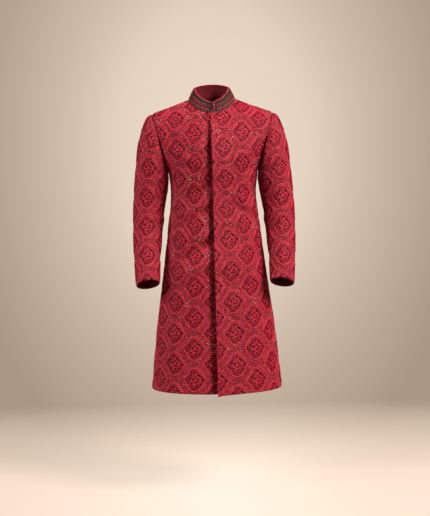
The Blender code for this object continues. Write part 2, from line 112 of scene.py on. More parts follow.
class Sections:
    """A short table of sections, read as one smooth curve for each named column."""

    def __init__(self, columns, units, rows):
        values = np.array(rows, float) * units
        self.key = values[:, 0]
        self.columns = {name: values[:, i] for i, name in enumerate(columns)}

    def read(self, name, where):
        """The column's value where the first column has the value asked for."""
        x, y = self.key, self.columns[name]
        slope = np.gradient(y, x)
        where = np.clip(where, x[0], x[-1])
        i = np.clip(np.searchsorted(x, where) - 1, 0, len(x) - 2)
        step = x[i + 1] - x[i]
        t = (where - x[i]) / step
        return (
            y[i] * (2 * t**3 - 3 * t**2 + 1)
            + y[i + 1] * (3 * t**2 - 2 * t**3)
            + step * slope[i] * (t**3 - 2 * t**2 + t)
            + step * slope[i + 1] * (t**3 - t**2)
        )


# The body from hem to armpit: half its width, and how far its front and back stand from the side seams.
BODY = Sections(
    ("z", "half_width", "front", "back"),
    (MM, MM, MM, MM),
    (
        (-1100, 250, 172, 183), (-1015, 241.5, 164, 176), (-938, 233.5, 157, 169), (-860, 225, 150, 161.5),
        (-784, 214.5, 143.5, 154), (-706, 203.5, 137.5, 146.5), (-630, 193.5, 131, 138), (-553, 183.5, 123.5, 125),
        (-476, 174.5, 115.5, 108), (-398, 164, 109.5, 95), (-330, 161.5, 111, 100), (-295, 166.2, 115, 108),
        (-262, 170, 118, 115),
    ),
)
FULLNESS_X, FULLNESS_Y = 0.60, 0.58  # 0.55 makes each row's quarter an ellipse, and more squares it
ROW_RISE = 0.30  # how evenly the rows above the armpit climb between their ends

# The centre front and centre back above the armpit, by the share of the way up to the neck.
CHEST = Sections(
    ("share", "y", "z"),
    (1, MM, MM),
    ((0, -118, -262), (0.25, -117.6, -209), (0.5, -111.7, -156), (0.75, -99.2, -104), (1, -80, -53)),
)
BLADES = Sections(
    ("share", "y", "z"),
    (1, MM, MM),
    ((0, 115, -262), (0.25, 121.5, -192), (0.5, 118, -122), (0.75, 99, -52), (1, 64, 20)),
)

# The sleeve: outer and inner edge seen from the front, its middle and half its depth from the side, how far its
# ring tips forward, and the angles round the ring, from the underarm, of the front and the back seam.
SLEEVE = Sections(
    ("station", "outer_x", "outer_z", "inner_x", "inner_z", "y", "half_depth", "tilt", "front_seam", "back_seam"),
    (1, MM, MM, MM, MM, MM, MM, 1, 1, 1),
    (
        (0, 229, -48, 170, -262, 0, 66, 0, 64.3, 90),
        (1, 243, -55, 174.2, -268, 0, 69, 0, 65.5, 91),
        (2, 259, -82, 174.2, -277, 0, 71.5, 0, 67, 92),
        (3, 274.5, -124, 173.2, -288, 1, 73.5, 0, 69, 94),
        (4, 286.5, -175, 172.5, -303, 3, 74.5, 0, 71, 96),
        (5, 293.5, -235, 175, -327, 5, 74, 1, 71, 98),
        (6, 300, -298, 183, -362, 6, 72, 3, 69, 100),
        (7, 305.5, -365, 189, -408, 5, 69.5, 6, 64, 99),
        (8, 308.5, -432, 194.5, -457, 0, 66.5, 11, 59, 96),
        (9, 309, -500, 201, -512, -13, 62.5, 16, 54, 91),
        (10, 307, -567, 206, -568, -32, 58.5, 20, 50, 86),
        (11, 302.5, -634, 209, -628, -55, 54.5, 23, 46, 80),
        (12, 297.5, -699, 210, -687, -79, 50.5, 24, 42, 75),
    ),
)
SLEEVE_EDGES = (("outer_x", "outer_z"), ("inner_x", "inner_z"))
SLEEVE_STATIONS = 12
RING_STATIONS = SLEEVE_STATIONS * np.linspace(0.0, 1.0, SLEEVE_RINGS + 1)
ARM_STATION = 4  # above it the lattice keeps to the upper arm's line

# Soft folds of the body: x and z of the middle of each one's ridge, the ridge's slope, its length and width, and how
# far it rises. A negative height is a trough.
FRONT_FOLDS = (
    (75, -650, -0.55, 110, 20, 3.4), (-60, -660, 0.6, 110, 21, 3.2), (-40, -575, 0.45, 90, 24, -3.6),
    (85, -705, -0.5, 90, 24, -2.8), (-115, -185, -0.85, 85, 18, 2.4), (120, -195, 0.8, 80, 20, 2),
)
BACK_FOLDS = (
    (55, -390, 0.25, 85, 18, 3.2), (-60, -400, -0.22, 90, 19, 3), (50, -440, 0.3, 95, 21, -3),
    (-55, -450, -0.3, 85, 20, -3), (130, -180, 1.1, 90, 17, 2.4), (-132, -175, -1.15, 85, 18, 2.4),
)
# Folds of the sleeve: station, angle round the ring from the underarm (front is positive), length in stations,
# spread in degrees, and height. The elbow's inside has the deepest.
SLEEVE_FOLDS = (
    (7.35, 30, 0.34, 62, -3), (7.9, 42, 0.3, 58, 2.6), (8.45, 25, 0.32, 55, -2.4), (5.1, 50, 0.4, 45, -2.2),
    (9.6, -70, 0.4, 50, 2),
)

# Finer creases than the solids', in the same columns.
FRONT_CREASES = (
    (-30, -335, 0.8, 50, 12, -5.8), (-75, -415, 0.62, 75, 12, 5.2), (-85, -450, 0.62, 70, 12, -4.8),
    (110, -385, -0.7, 75, 11, 4.8), (100, -418, -0.7, 70, 11, -5), (100, -175, 0.75, 55, 12, -2),
    (-118, -138, -0.8, 85, 15, 5), (-105, -188, -0.76, 80, 16, -5.8), (-70, -262, -0.35, 60, 14, -3),
    (110, -215, 0.45, 45, 10, 2.4), (-95, -320, 0.65, 50, 10, 2.2), (-150, -300, 0.4, 40, 9, -2.4),
    (150, -330, -0.35, 45, 9, 2.4), (-48, -508, 0.45, 60, 14, 3.6), (-34, -548, 0.48, 70, 16, -9),
    (-78, -636, 0.62, 75, 14, 5.2), (-100, -688, 0.6, 65, 14, -4), (100, -622, -0.8, 70, 13, 4.6),
    (88, -668, -0.78, 65, 14, -4.4), (-60, -800, 1.9, 130, 18, -3.4), (75, -860, -2.4, 140, 20, -3.2),
    (150, -900, -3.4, 150, 17, 3.2), (-150, -900, 3.2, 150, 17, 3.2), (-120, -600, 0.35, 60, 12, -2.4),
    (130, -560, -0.4, 60, 12, -2.4), (60, -470, -0.5, 55, 12, 2),
)
BACK_CREASES = (
    (75, -345, 0.45, 55, 10, -2.4), (-80, -355, -0.42, 60, 11, -2.2), (100, -420, 0.5, 60, 11, 2.2),
    (-95, -425, -0.55, 55, 10, 2.4), (95, -150, 1.05, 60, 12, -1.8), (-98, -155, -1.1, 65, 12, -1.6),
    (50, -215, 0.3, 60, 14, 1.4), (-45, -235, -0.25, 55, 13, 1.4), (110, -820, -2.6, 160, 20, -2.6),
    (-105, -840, 2.9, 150, 19, -2.4), (60, -900, -3.6, 150, 17, 2.2), (-55, -880, 3.4, 160, 18, 2),
    (140, -620, 0.5, 60, 12, 1.8), (-145, -600, -0.45, 60, 12, 1.6),
)
SLEEVE_CREASES = (
    (6.65, 35, 0.22, 46, -2.2), (7.6, 12, 0.18, 40, -2.4), (8.15, 58, 0.17, 34, 2), (8.9, 40, 0.2, 45, -2),
    (9.4, 62, 0.22, 40, 1.6), (5.6, 40, 0.26, 42, 1.8), (4.3, 62, 0.34, 38, -1.6), (3.1, 100, 0.4, 36, -1.4),
    (7.1, -60, 0.24, 44, -1.8), (7.9, -85, 0.24, 50, 1.8), (10.4, 20, 0.26, 52, -1.6), (10.9, -110, 0.3, 46, 1.4),
    (6.1, -120, 0.36, 40, 1.4),
)

# Shells
SEAM_DIP, SEAM_DIP_BESIDE = 0.0015, 0.0006  # how far the outside sinks on a seam, and on the next row of points
EDGE_THIN = 0.62  # the share of the wall's thickness that a free edge keeps

# Stitching: the material numbers of the embroidery, and sizes in millimetres
CORD, FILL, MAROON, LEAF, SCROLL, GOLD, ROSETTE, DEEP = range(8)
SUNK = 0.4  # how far the foot of each stitch goes into the cloth
DOT, SMALL_LEAF, CUSHION = (1.0,), (1.0, 0.5), (1.0, 0.62)  # the rings of a cushion, as shares of its outline
CORD_FOOT, CORD_TOP, CORD_END = 0.5, 0.28, 0.35  # a cord's half widths, and the share of it that its ends keep
MEDALLION_HALF_WIDTH, MEDALLION_HALF_HEIGHT = 41.8, 43.5
OGEE_HANDLES = ((0.72, 0.15), (0.63, 1.0))  # what shapes a quarter of its outline, as shares of those
PAD_EDGE, PAD_RISE, PAD_WIDTH = 0.3, 0.9, 0.90  # its ground's height at the edge and what the middle gains
PAD_RINGS = (1.0, 0.87, 0.84, 0.58, 0.28)
PAD_SCALE, LINE_SCALE = 0.965, 0.85
SEQUIN_SIZE = 4.1
ROSETTE_PETALS = 6
SPRIG_LEAVES = (  # turn, reach, length, width
    (90, 5.5, 7, 3.2), (30, 6.5, 8, 3.2), (150, 6.5, 8, 3.2), (270, 4.5, 6, 3), (215, 6.5, 7, 2.8),
    (325, 6.5, 7, 2.8),
)
# Inside a medallion, from its middle
ROSETTES = ((-7, 25, 7.0), (-25, 0, 7.0), (-4, -28, 7.6))  # x, y, radius
LEAVES = (  # x, y, length, width, turn, and whether it is a large dark leaf with a glint
    (13, 18, 19, 9.5, -50, True), (27, 0, 13, 10, -72, True), (18, -17, 14, 9, 62, True), (21, 10, 9, 6, -30, False),
    (-16, 15, 11, 6.6, 40, False), (-13, -14, 12, 7, 36, False), (4, 29, 9, 5.8, -25, False),
    (10, -27, 11, 6.2, 60, False), (-7, 2, 11, 7.4, 75, False), (1, 10, 9, 7.2, -30, False),
    (-15, 6, 10, 6.2, 0, False), (9, 2, 10, 6.8, 80, False), (2, -8, 10, 6.8, 15, False), (11, -8, 8, 6, -15, False),
    (5, -19, 9, 6.2, 45, False), (-23, -11, 9, 5.6, -15, False), (-16, -22, 8, 5.4, -50, False),
    (22, -8, 7, 5.2, 40, False), (-22, 11, 8, 5.2, 65, False),
)
SCROLLS = (  # x, y, radius, and the angles it runs between
    (-13, 12, 9, 60, 200), (-12, -13, 9, 160, 300), (10, 12, 8, -60, 80), (9, -12, 8, -100, 40),
    (-5, 27, 10, -150, -20), (-25, 2, 9, -70, 70), (-1, -29, 10, 25, 155), (24, 0, 9, 110, 250),
)
PETALS = (  # x, y, length, width, turn
    (-20, 26, 9, 4.5, 40), (13, 34, 9, 4.4, -28), (-34, 12, 8, 3.8, 62), (-35, -9, 8, 3.8, -62),
    (-22, -31, 9, 4.5, -40), (16, -37, 9, 4, 30), (32, 12, 8, 3.6, -52), (33, -12, 8, 3.6, 52), (-1, 17, 7, 3.6, 60),
    (-5, -18, 8, 4, 110), (-5, 10, 8, 3.8, 130), (9, 9, 7, 3.6, 35), (5, -3, 8, 3.8, -40), (-3, -5, 8, 3.8, -130),
    (-14, 0, 8, 3.8, 10), (16, 5, 8, 3.8, 75), (15, -12, 7, 3.6, 80), (5, 23, 9, 4, 75), (-12, -9, 8, 3.6, -30),
    (22, 20, 7, 3.4, -60), (1, -15, 7, 3.4, 20),
)

# The lattice of medallions: how far apart they stand down a column, and the height of each phase's first
SKIRT_WIDER, WIDENS_BELOW = 0.10, -0.35  # how much wider the skirt's medallions are than the chest's
MEDALLION_NUMBERS, SLEEVE_COLUMNS = range(-2, 12), range(-3, 5)  # more than any piece holds
MEDALLION_REACH = 0.06  # a medallion this far past a piece can still touch it
LEAN_SPAN = 0.05  # a medallion leans as its column does between this far below it and this far above
PITCH = 0.1152
PHASES = {"A": -0.1242, "B": -0.0670}
LATTICE_HEIGHTS = (-1.10, -0.78, -0.50, -0.10)
LATTICE = {  # each column's place at those heights, and its phase
    "front_right": (
        (-9, -5, -3, -0.5, "B"), (-84.5, -81, -74.8, -69, "A"), (-169, -160, -139, -140, "B"),
        (-244, -231, -212, -208, "A"), (-320, -304, -285, -275, "B"),
    ),
    "front_left": (
        (8.5, -4.5, -15, -31, "A"), (83, 71.5, 55.5, 39, "B"), (162, 149.5, 120, 112, "A"),
        (243, 227, 193, 180, "B"), (320, 302, 265, 250, "A"),
    ),
    "back_left": (
        (-45, -41.5, -36, -35, "A"), (-126, -119, -108, -106, "B"), (-206, -195, -180, -177, "A"),
        (-286, -271, -252, -248, "B"), (-360, -345, -324, -319, "A"),
    ),
    "back_right": (
        (45, 42, 38, 37, "B"), (126, 119, 110, 108, "A"), (206, 196, 182, 179, "B"), (286, 272, 254, 250, "A"),
        (360, 346, 326, 321, "B"),
    ),
}
SLEEVE_PITCH, SLEEVE_SPACING = 0.1110, 0.0720  # down a column of the sleeve, and from one to the next
SLEEVE_START = {"left": 0.042, "right": 0.034}  # the main column's distance from the front seam
SLEEVE_PHASES = {"A": 0.042, "B": 0.042 + SLEEVE_PITCH / 2}

# Sequins: how far outside a medallion they lie, how far they stray, and what they keep clear of
SEQUIN_RING, SEQUIN_STRAY = (0.003, 0.026), 0.006
SEQUINS_APART = 0.0065
SEQUIN_CLEAR = 0.004 * np.array([(1, 0), (-1, 0), (0, 1), (0, -1)])  # a sequin keeps this far inside its panel
RUN_LENGTHS, RUN_SPREAD = (2, 6), 9  # sequins in a run, and the places of a medallion's outline that it spans
PANEL_RUNS, SLEEVE_RUNS = 0.75, 0.4  # the share of medallions that have a run
RICH_RUNS, RICH_ABOVE = 3, -0.62  # the right front's medallions above this height have three


def smooth_step(x):
    """0 below 0, 1 above 1, and an S-shaped rise between."""
    x = np.clip(x, 0.0, 1.0)
    return x * x * (3.0 - 2.0 * x)


def blend(a, b, share):
    """From a to b, for arrays of points and an array of shares."""
    share = np.asarray(share)[..., None]
    return np.asarray(a) * (1 - share) + np.asarray(b) * share


def points(x, y, z):
    """Points from their coordinates, each an array or one number for all."""
    return np.stack(np.broadcast_arrays(np.asarray(x, float), y, z), axis=-1)


def unit(vectors):
    return vectors / np.maximum(np.linalg.norm(vectors, axis=-1, keepdims=True), 1e-12)


def running(steps):
    """Running totals along the last axis, from 0."""
    return np.concatenate([np.zeros((*steps.shape[:-1], 1)), np.cumsum(steps, axis=-1)], axis=-1)


def travelled(path):
    """How far along its path each point lies, for one path or for one in each row."""
    return running(np.linalg.norm(np.diff(path, axis=-2), axis=-1))


def bezier(t, p0, p1, p2, p3):
    return (1 - t) ** 3 * p0 + 3 * (1 - t) ** 2 * t * p1 + 3 * (1 - t) * t**2 * p2 + t**3 * p3


def neck_curve(angle, side, centre):
    """A curve round the neck: angle 0 is the centre front or back, and 90 degrees the shoulder seam."""
    side_x, side_y, side_z = side
    centre_y, centre_z = centre
    near = np.maximum(np.cos(angle), 0.0)
    return points(
        side_x * np.sin(angle),
        side_y + (centre_y - side_y) * near,
        side_z + (centre_z - side_z) * near**NECK_FALL,
    )


def neckline(angle, front):
    """The seam between the body and the collar."""
    return neck_curve(angle, NECK_SIDE, NECK_FRONT if front else NECK_BACK)


def collar_top(angle, front):
    """The collar's top edge, at the neckline's angles. It drops to the two ends at the front."""
    edge = neck_curve(angle, COLLAR_TOP_SIDE, COLLAR_TOP_FRONT if front else COLLAR_TOP_BACK)
    if front:
        edge[..., 2] -= COLLAR_POINT_DROP * np.exp(-np.abs(edge[..., 0]) / COLLAR_POINT_WIDTH)
    return edge


def armhole(angle, front):
    """A point of the armhole: angle 0 is the underarm, and 180 degrees the shoulder tip."""
    tip_x, _, tip_z = SHOULDER_TIP
    rise = (1 - np.cos(angle)) / 2
    side = -1.0 if front else 1.0
    return points(
        ARMPIT_X + (tip_x - ARMPIT_X) * rise,
        side * ARMHOLE_HALF_DEPTH * np.sin(angle),
        ARMPIT_Z + (tip_z - ARMPIT_Z) * rise,
    )


def panel_rails(level, front):
    """The ends and handles of the panel's rows. Level 0 is the hem, 1 the armpit and 2 the shoulder seam."""
    level = np.asarray(level, float)
    side = -1.0 if front else 1.0
    z = HEM_Z + (ARMPIT_Z - HEM_Z) * np.minimum(level, 1.0)
    width = BODY.read("half_width", z)
    depth = BODY.read("front" if front else "back", z) * side
    start = points(0.0, depth, z)
    end = points(width, 0.0, z)

    up = np.clip(level - 1.0, 0.0, 1.0)
    neck_share = (FRONT_NECK_ROW if front else BACK_NECK_ROW) / YOKE_ROWS
    profile = CHEST if front else BLADES
    share = np.minimum(up / neck_share, 1.0)
    angle = np.clip((up - neck_share) / (1 - neck_share), 0.0, 1.0) * math.pi / 2
    centre = points(0.0, profile.read("y", share), profile.read("z", share))
    yoke_start = np.where((up > neck_share)[:, None], neckline(angle, front), centre)
    yoke_end = armhole(up * math.pi, front)
    yoke = (level > 1.0)[:, None]
    start = np.where(yoke, yoke_start, start)
    end = np.where(yoke, yoke_end, end)
    over, back, rise = (end - start).T
    seam = (np.array(SHOULDER_TIP) - np.array(NECK_SIDE)) / 3
    turn = smooth_step(up)
    start_handle = blend(points(FULLNESS_X * over, 0.0, ROW_RISE * rise), seam, turn)
    end_handle = blend(points(0.0, -FULLNESS_Y * back, -ROW_RISE * rise), -seam, turn)
    return start, start_handle, end, end_handle


def row_points(rails, distance_of):
    """Points along each row, at the distances from its start that distance_of gives for the row's whole length."""
    t = np.linspace(0.0, 1.0, ROW_SAMPLES + 1)[:, None]
    rows = []
    for start, start_handle, end, end_handle in zip(*rails):
        curve = bezier(t, start, start + start_handle, end + end_handle, end)
        far = travelled(curve)
        wanted = distance_of(len(rows), far[-1])
        row = np.stack([np.interp(np.abs(wanted), far, axis) for axis in curve.T], axis=1)
        row[wanted < 0, 0] *= -1  # past the centre the row is its own mirror image
        rows.append(row)
    return np.array(rows)


def panel_levels():
    skirt = np.linspace(0.0, 1.0, SKIRT_ROWS + 1)
    yoke = np.linspace(1.0, 2.0, YOKE_ROWS + 1)[1:]
    return np.concatenate([skirt, yoke])


def lap_edges(levels):
    """For each row, how far the upper and the lower front pass the centre line. Above the neck point it is 0."""
    neck = 1 + FRONT_NECK_ROW / YOKE_ROWS
    upper = LAP_HEM + (LAP_TOP - LAP_HEM) * np.minimum(levels / neck, 1.0)
    lower = UNDERLAP + (UNDERLAP_NECK - UNDERLAP) * smooth_step((levels - neck + UNDERLAP_EASE) / UNDERLAP_EASE)
    inside = levels <= neck + 1e-9
    return np.where(inside, upper, 0.0), np.where(inside, lower, 0.0)


CELL_CORNERS = ((0, 0), (0, 1), (1, 0), (1, 1))
SAME_POINT = 1e-5  # points that round to the same multiples of this are one


def face_normals(grid):
    """Each cell's normal, which points out of the coat on a grid whose rows rise and columns run round from -Y."""
    across = grid[:-1, 1:] - grid[1:, :-1]
    along = grid[1:, 1:] - grid[:-1, :-1]
    return np.cross(across, along)


def grid_normals(grid):
    """Each point's own normal, from the cells round it."""
    cells = face_normals(grid)
    total = np.zeros_like(grid)
    for row, column in CELL_CORNERS:
        total[row : row + len(cells), column : column + cells.shape[1]] += cells
    return unit(total)


def fold_heights(x, z, folds):
    """How far the folds raise the points x, z. Each is a ridge, or a trough, that fades along its length."""
    total = 0
    for middle_x, middle_z, slope, length, width, height in np.array(folds) * (MM, MM, 1, MM, MM, MM):
        run = np.hypot(1.0, slope)
        dx, dz = x - middle_x, z - middle_z
        along = (dx + dz * slope) / run
        across = (dz - dx * slope) / run
        total = total + height * np.exp(-((along / length) ** 2) - (across / width) ** 2)
    return total


def lap_offset(x, z, upper, lower, is_upper):
    """How far a front leaves the centre surface so that the two fronts lie one on the other. The upper one's edge
    lifts, and the lower one dips beside that edge, which leaves a shadow along it."""
    below, past = NECK_FRONT[1] - z, x + upper
    hang = smooth_step((ARMPIT_Z - z) / (ARMPIT_Z - HEM_Z))
    reach = np.minimum(LAP_FADE, LAP_NECK_FADE + LAP_FADE_GROWTH * np.maximum(below, 0.0))
    if is_upper:
        cover = 1 - smooth_step((x - lower - LAP_CLEAR) / reach)
        flare = LAP_FLARE * hang * np.exp(-np.maximum(past, 0) / LAP_FLARE_REACH)
        lifted = sum(share * smooth_step((below - start) / run) for share, start, run in LAP_LIFT_STARTS)
        return (LAP_STEP + flare) * cover, LAP_LIFT * lifted * np.exp(-np.maximum(past, 0) / LAP_LIFT_REACH)
    cover = smooth_step((past + LAP_CLEAR + reach) / reach)
    uneven = LAP_DIP_EVEN + (1 - LAP_DIP_EVEN) * np.sin(z * LAP_DIP_WAVES)
    dipped = smooth_step((below - LAP_DIP_START) / LAP_DIP_RUN) * uneven
    return -LAP_STEP * cover, -LAP_DIP * dipped * np.exp(-((past / LAP_DIP_WIDTH) ** 2))


def front_grid(side):
    """The middle surface of one front. side is +1 for the wearer's left, which laps over, and -1 for the right."""
    levels = panel_levels()
    upper, lower = lap_edges(levels)
    edge, other = (upper, lower) if side > 0 else (lower, upper)

    def distances(row, length):
        if edge[row] == other[row]:
            return np.linspace(0.0, length, COLUMNS + 1)
        even = np.linspace(-edge[row], length, COLUMNS + 1)
        lapped = np.linspace(-edge[row], other[row] + LAP_CLEAR, LAP_COLUMNS + 1)
        lapped = np.concatenate([lapped, np.linspace(lapped[-1], length, COLUMNS - LAP_COLUMNS + 1)[1:]])
        return even + (lapped - even) * smooth_step((SKIRT_ROWS + FRONT_NECK_ROW - row) / LAP_EASE_ROWS)

    grid = row_points(panel_rails(levels, True), distances)
    normals = grid_normals(grid)
    grid[..., 0] *= side
    normals[..., 0] *= side
    x, z = grid[..., 0], grid[..., 2]
    lap, shadow = lap_offset(x, z, upper[:, None], lower[:, None], side > 0)
    offset = lap + fold_heights(x, z, FRONT_FOLDS + FRONT_CREASES) * seam_fade(levels, grid.shape[1]) + shadow
    if side > 0:
        hang = np.clip(1 - levels * LAP_HEM_LEVELS, 0.0, 1.0)[:, None] * np.exp(-np.maximum(x, 0) / LAP_HEM_REACH)
        grid[..., 2] -= LAP_HEM_DROP * hang
    return grid + normals * offset[..., None]


def seam_fade(levels, columns):
    """1 inside a panel and 0 on its outer seam and shoulder seam, so that neighbours keep one edge."""
    across = np.minimum((columns - 1 - np.arange(columns)) / SIDE_FADE, 1.0)
    up = np.clip((2.0 - levels) * YOKE_ROWS / TOP_FADE, 0.0, 1.0)
    return smooth_step(across)[None, :] * smooth_step(up)[:, None]


def back_grid(side):
    """The middle surface of one half of the back."""
    levels = panel_levels()
    grid = row_points(panel_rails(levels, False), lambda row, length: np.linspace(0.0, length, COLUMNS + 1))
    normals = -grid_normals(grid)
    grid[..., 0] *= side
    normals[..., 0] *= side
    columns = grid.shape[1]
    centre_fade = smooth_step(np.arange(columns) / SIDE_FADE)[None, :]
    offset = fold_heights(grid[..., 0], grid[..., 2], BACK_FOLDS + BACK_CREASES)
    return grid + normals * (offset * seam_fade(levels, columns) * centre_fade)[..., None]


def sleeve_section(station):
    """Every column of the sleeve's table at one station."""
    return {name: float(SLEEVE.read(name, station)) for name in SLEEVE.columns}


def sleeve_edges(section):
    """A ring's outer and inner point."""
    return [np.array([section[x], section["y"], section[z]]) for x, z in SLEEVE_EDGES]


def sleeve_angles(station):
    """The angles round one ring, from the underarm to the shoulder by the front, then by the back."""
    section = sleeve_section(station)
    even = math.pi * np.arange(YOKE_ROWS + 1) / YOKE_ROWS
    ease = smooth_step(station)
    halves = []
    for name, column in (("front_seam", FRONT_SLEEVE_SEAM), ("back_seam", BACK_SLEEVE_SEAM)):
        seam = math.radians(section[name])
        low, high = even[: column + 1], even[column:]
        above = seam + (high - high[0]) * (math.pi - seam) / (math.pi - high[0])
        turned = np.concatenate([low * seam / low[-1], above[1:]])
        halves.append(even * (1 - ease) + turned * ease)
    return halves


def sleeve_ring(station, angles, front):
    """Points of one ring of the left sleeve, on its front or back half."""
    section = sleeve_section(station)
    outer, inner = sleeve_edges(section)
    tilt = math.radians(section["tilt"])
    side = 1.0 if front else -1.0
    forward = side * section["half_depth"] * np.array([0.0, -math.cos(tilt), math.sin(tilt)])
    ring = blend(inner, outer, (1 - np.cos(angles)) / 2) + np.sin(angles)[:, None] * forward
    height = np.zeros(len(angles))
    for place, angle, length, spread, size in SLEEVE_FOLDS + SLEEVE_CREASES:
        turn = side * np.degrees(angles) - angle
        height += size * MM * np.exp(-(((station - place) / length) ** 2) - (turn / spread) ** 2)
    return ring + unit(ring - (outer + inner) / 2) * height[:, None]


def sleeve_grids():
    """The middle surfaces of the left sleeve's under and upper piece. Rows run down the sleeve."""
    under, upper = [], []
    for station in RING_STATIONS:
        front_angles, back_angles = sleeve_angles(station)
        front = sleeve_ring(station, front_angles, True)
        back = sleeve_ring(station, back_angles, False)
        under.append(np.concatenate([front[FRONT_SLEEVE_SEAM:0:-1], back[: BACK_SLEEVE_SEAM + 1]]))
        upper.append(np.concatenate([front[FRONT_SLEEVE_SEAM:], back[-2 : BACK_SLEEVE_SEAM - 1 : -1]]))
    return np.array(under), np.array(upper)


def collar_point(angle, front, side, share):
    """A point of the collar's middle surface, with share 0 on the neckline and 1 on its top edge."""
    low, high = neckline(np.array(angle), front), collar_top(np.array(angle), front)
    out = np.array([low[0], low[1], 0.0])
    point = low + (high - low) * share + out / np.linalg.norm(out) * COLLAR_SWELL * math.sin(math.pi * share)
    point[0] *= side
    return point


def mirrored(grid):
    """The other side's copy, with its columns turned round so that its normals still point out."""
    copy = grid[:, ::-1].copy()
    copy[..., 0] *= -1
    return copy


def body_grids():
    """Every sewn piece's middle surface, by name, each with its normals pointing out of the coat."""
    under, upper = sleeve_grids()
    return {
        "front_left": front_grid(1.0),
        "front_right": front_grid(-1.0)[:, ::-1],
        "back_left": back_grid(1.0)[:, ::-1],
        "back_right": back_grid(-1.0),
        "sleeve_upper_left": upper[::-1],
        "sleeve_under_left": under[::-1, ::-1],
        "sleeve_upper_right": mirrored(upper[::-1]),
        "sleeve_under_right": mirrored(under[::-1, ::-1]),
    }


# ---------------------------------------------------------------- cloth surfaces and their flat coordinates


def armhole_groove(name, grid):
    """How far each point sinks beside the armhole seam, where the sleeve is set in."""
    sleeve = name.startswith("sleeve")
    turned = name in ("front_right", "back_left")
    rows = grid.transpose(1, 0, 2) if sleeve else grid[:, ::-1] if turned else grid  # each ends on the seam
    far = travelled(rows[:, ::-1])[:, ::-1]
    _, y, z = rows[:, -1].T
    up = np.clip((z - ARMPIT_Z) / (SHOULDER_TIP[2] - ARMPIT_Z), 0.0, 1.0)
    full, run = GROOVE_GAIN_TOP
    front = smooth_step((GROOVE_BACK_Y - y) / (2 * GROOVE_BACK_Y)) * (1 - smooth_step((up - full) / run))
    deep = (GROOVE + GROOVE_GAIN * front) * smooth_step(up / GROOVE_START)
    sunk = deep[:, None] * np.exp(-((far / GROOVE_REACH[sleeve]) ** 2))
    return sunk.T if sleeve else sunk[:, ::-1] if turned else sunk


def shared_normals(grids):
    """Each grid's point normals. Points that two grids share get one normal, so that their edges meet."""
    every = np.concatenate([grid.reshape(-1, 3) for grid in grids.values()])
    _, index = np.unique(np.round(every / SAME_POINT).astype(np.int64), axis=0, return_inverse=True)
    index = index.reshape(-1)
    total = np.zeros((index.max() + 1, 3))
    start = 0
    places = {}
    for name, grid in grids.items():
        rows, columns = grid.shape[:2]
        places[name] = index[start : start + rows * columns].reshape(rows, columns)
        start += rows * columns
        cells = unit(face_normals(grid)).reshape(-1, 3)
        for row, column in CELL_CORNERS:
            corner = places[name][row : row + rows - 1, column : column + columns - 1]
            np.add.at(total, corner.reshape(-1), cells)
    total = unit(total)
    return {name: total[places[name]] for name in grids}


# How flat coordinates are found on a cloth's grid
SPARSE = 3  # every third point is tried as the start
SEARCH_MARGIN = 0.02
NEWTON_STEPS, LONGEST_STEP = 8, 9
MISS_LIMIT = 0.001
BORDER, HIDDEN = 0.12, -0.0003  # the share of a cell that stitching keeps from a border, and where the rest goes


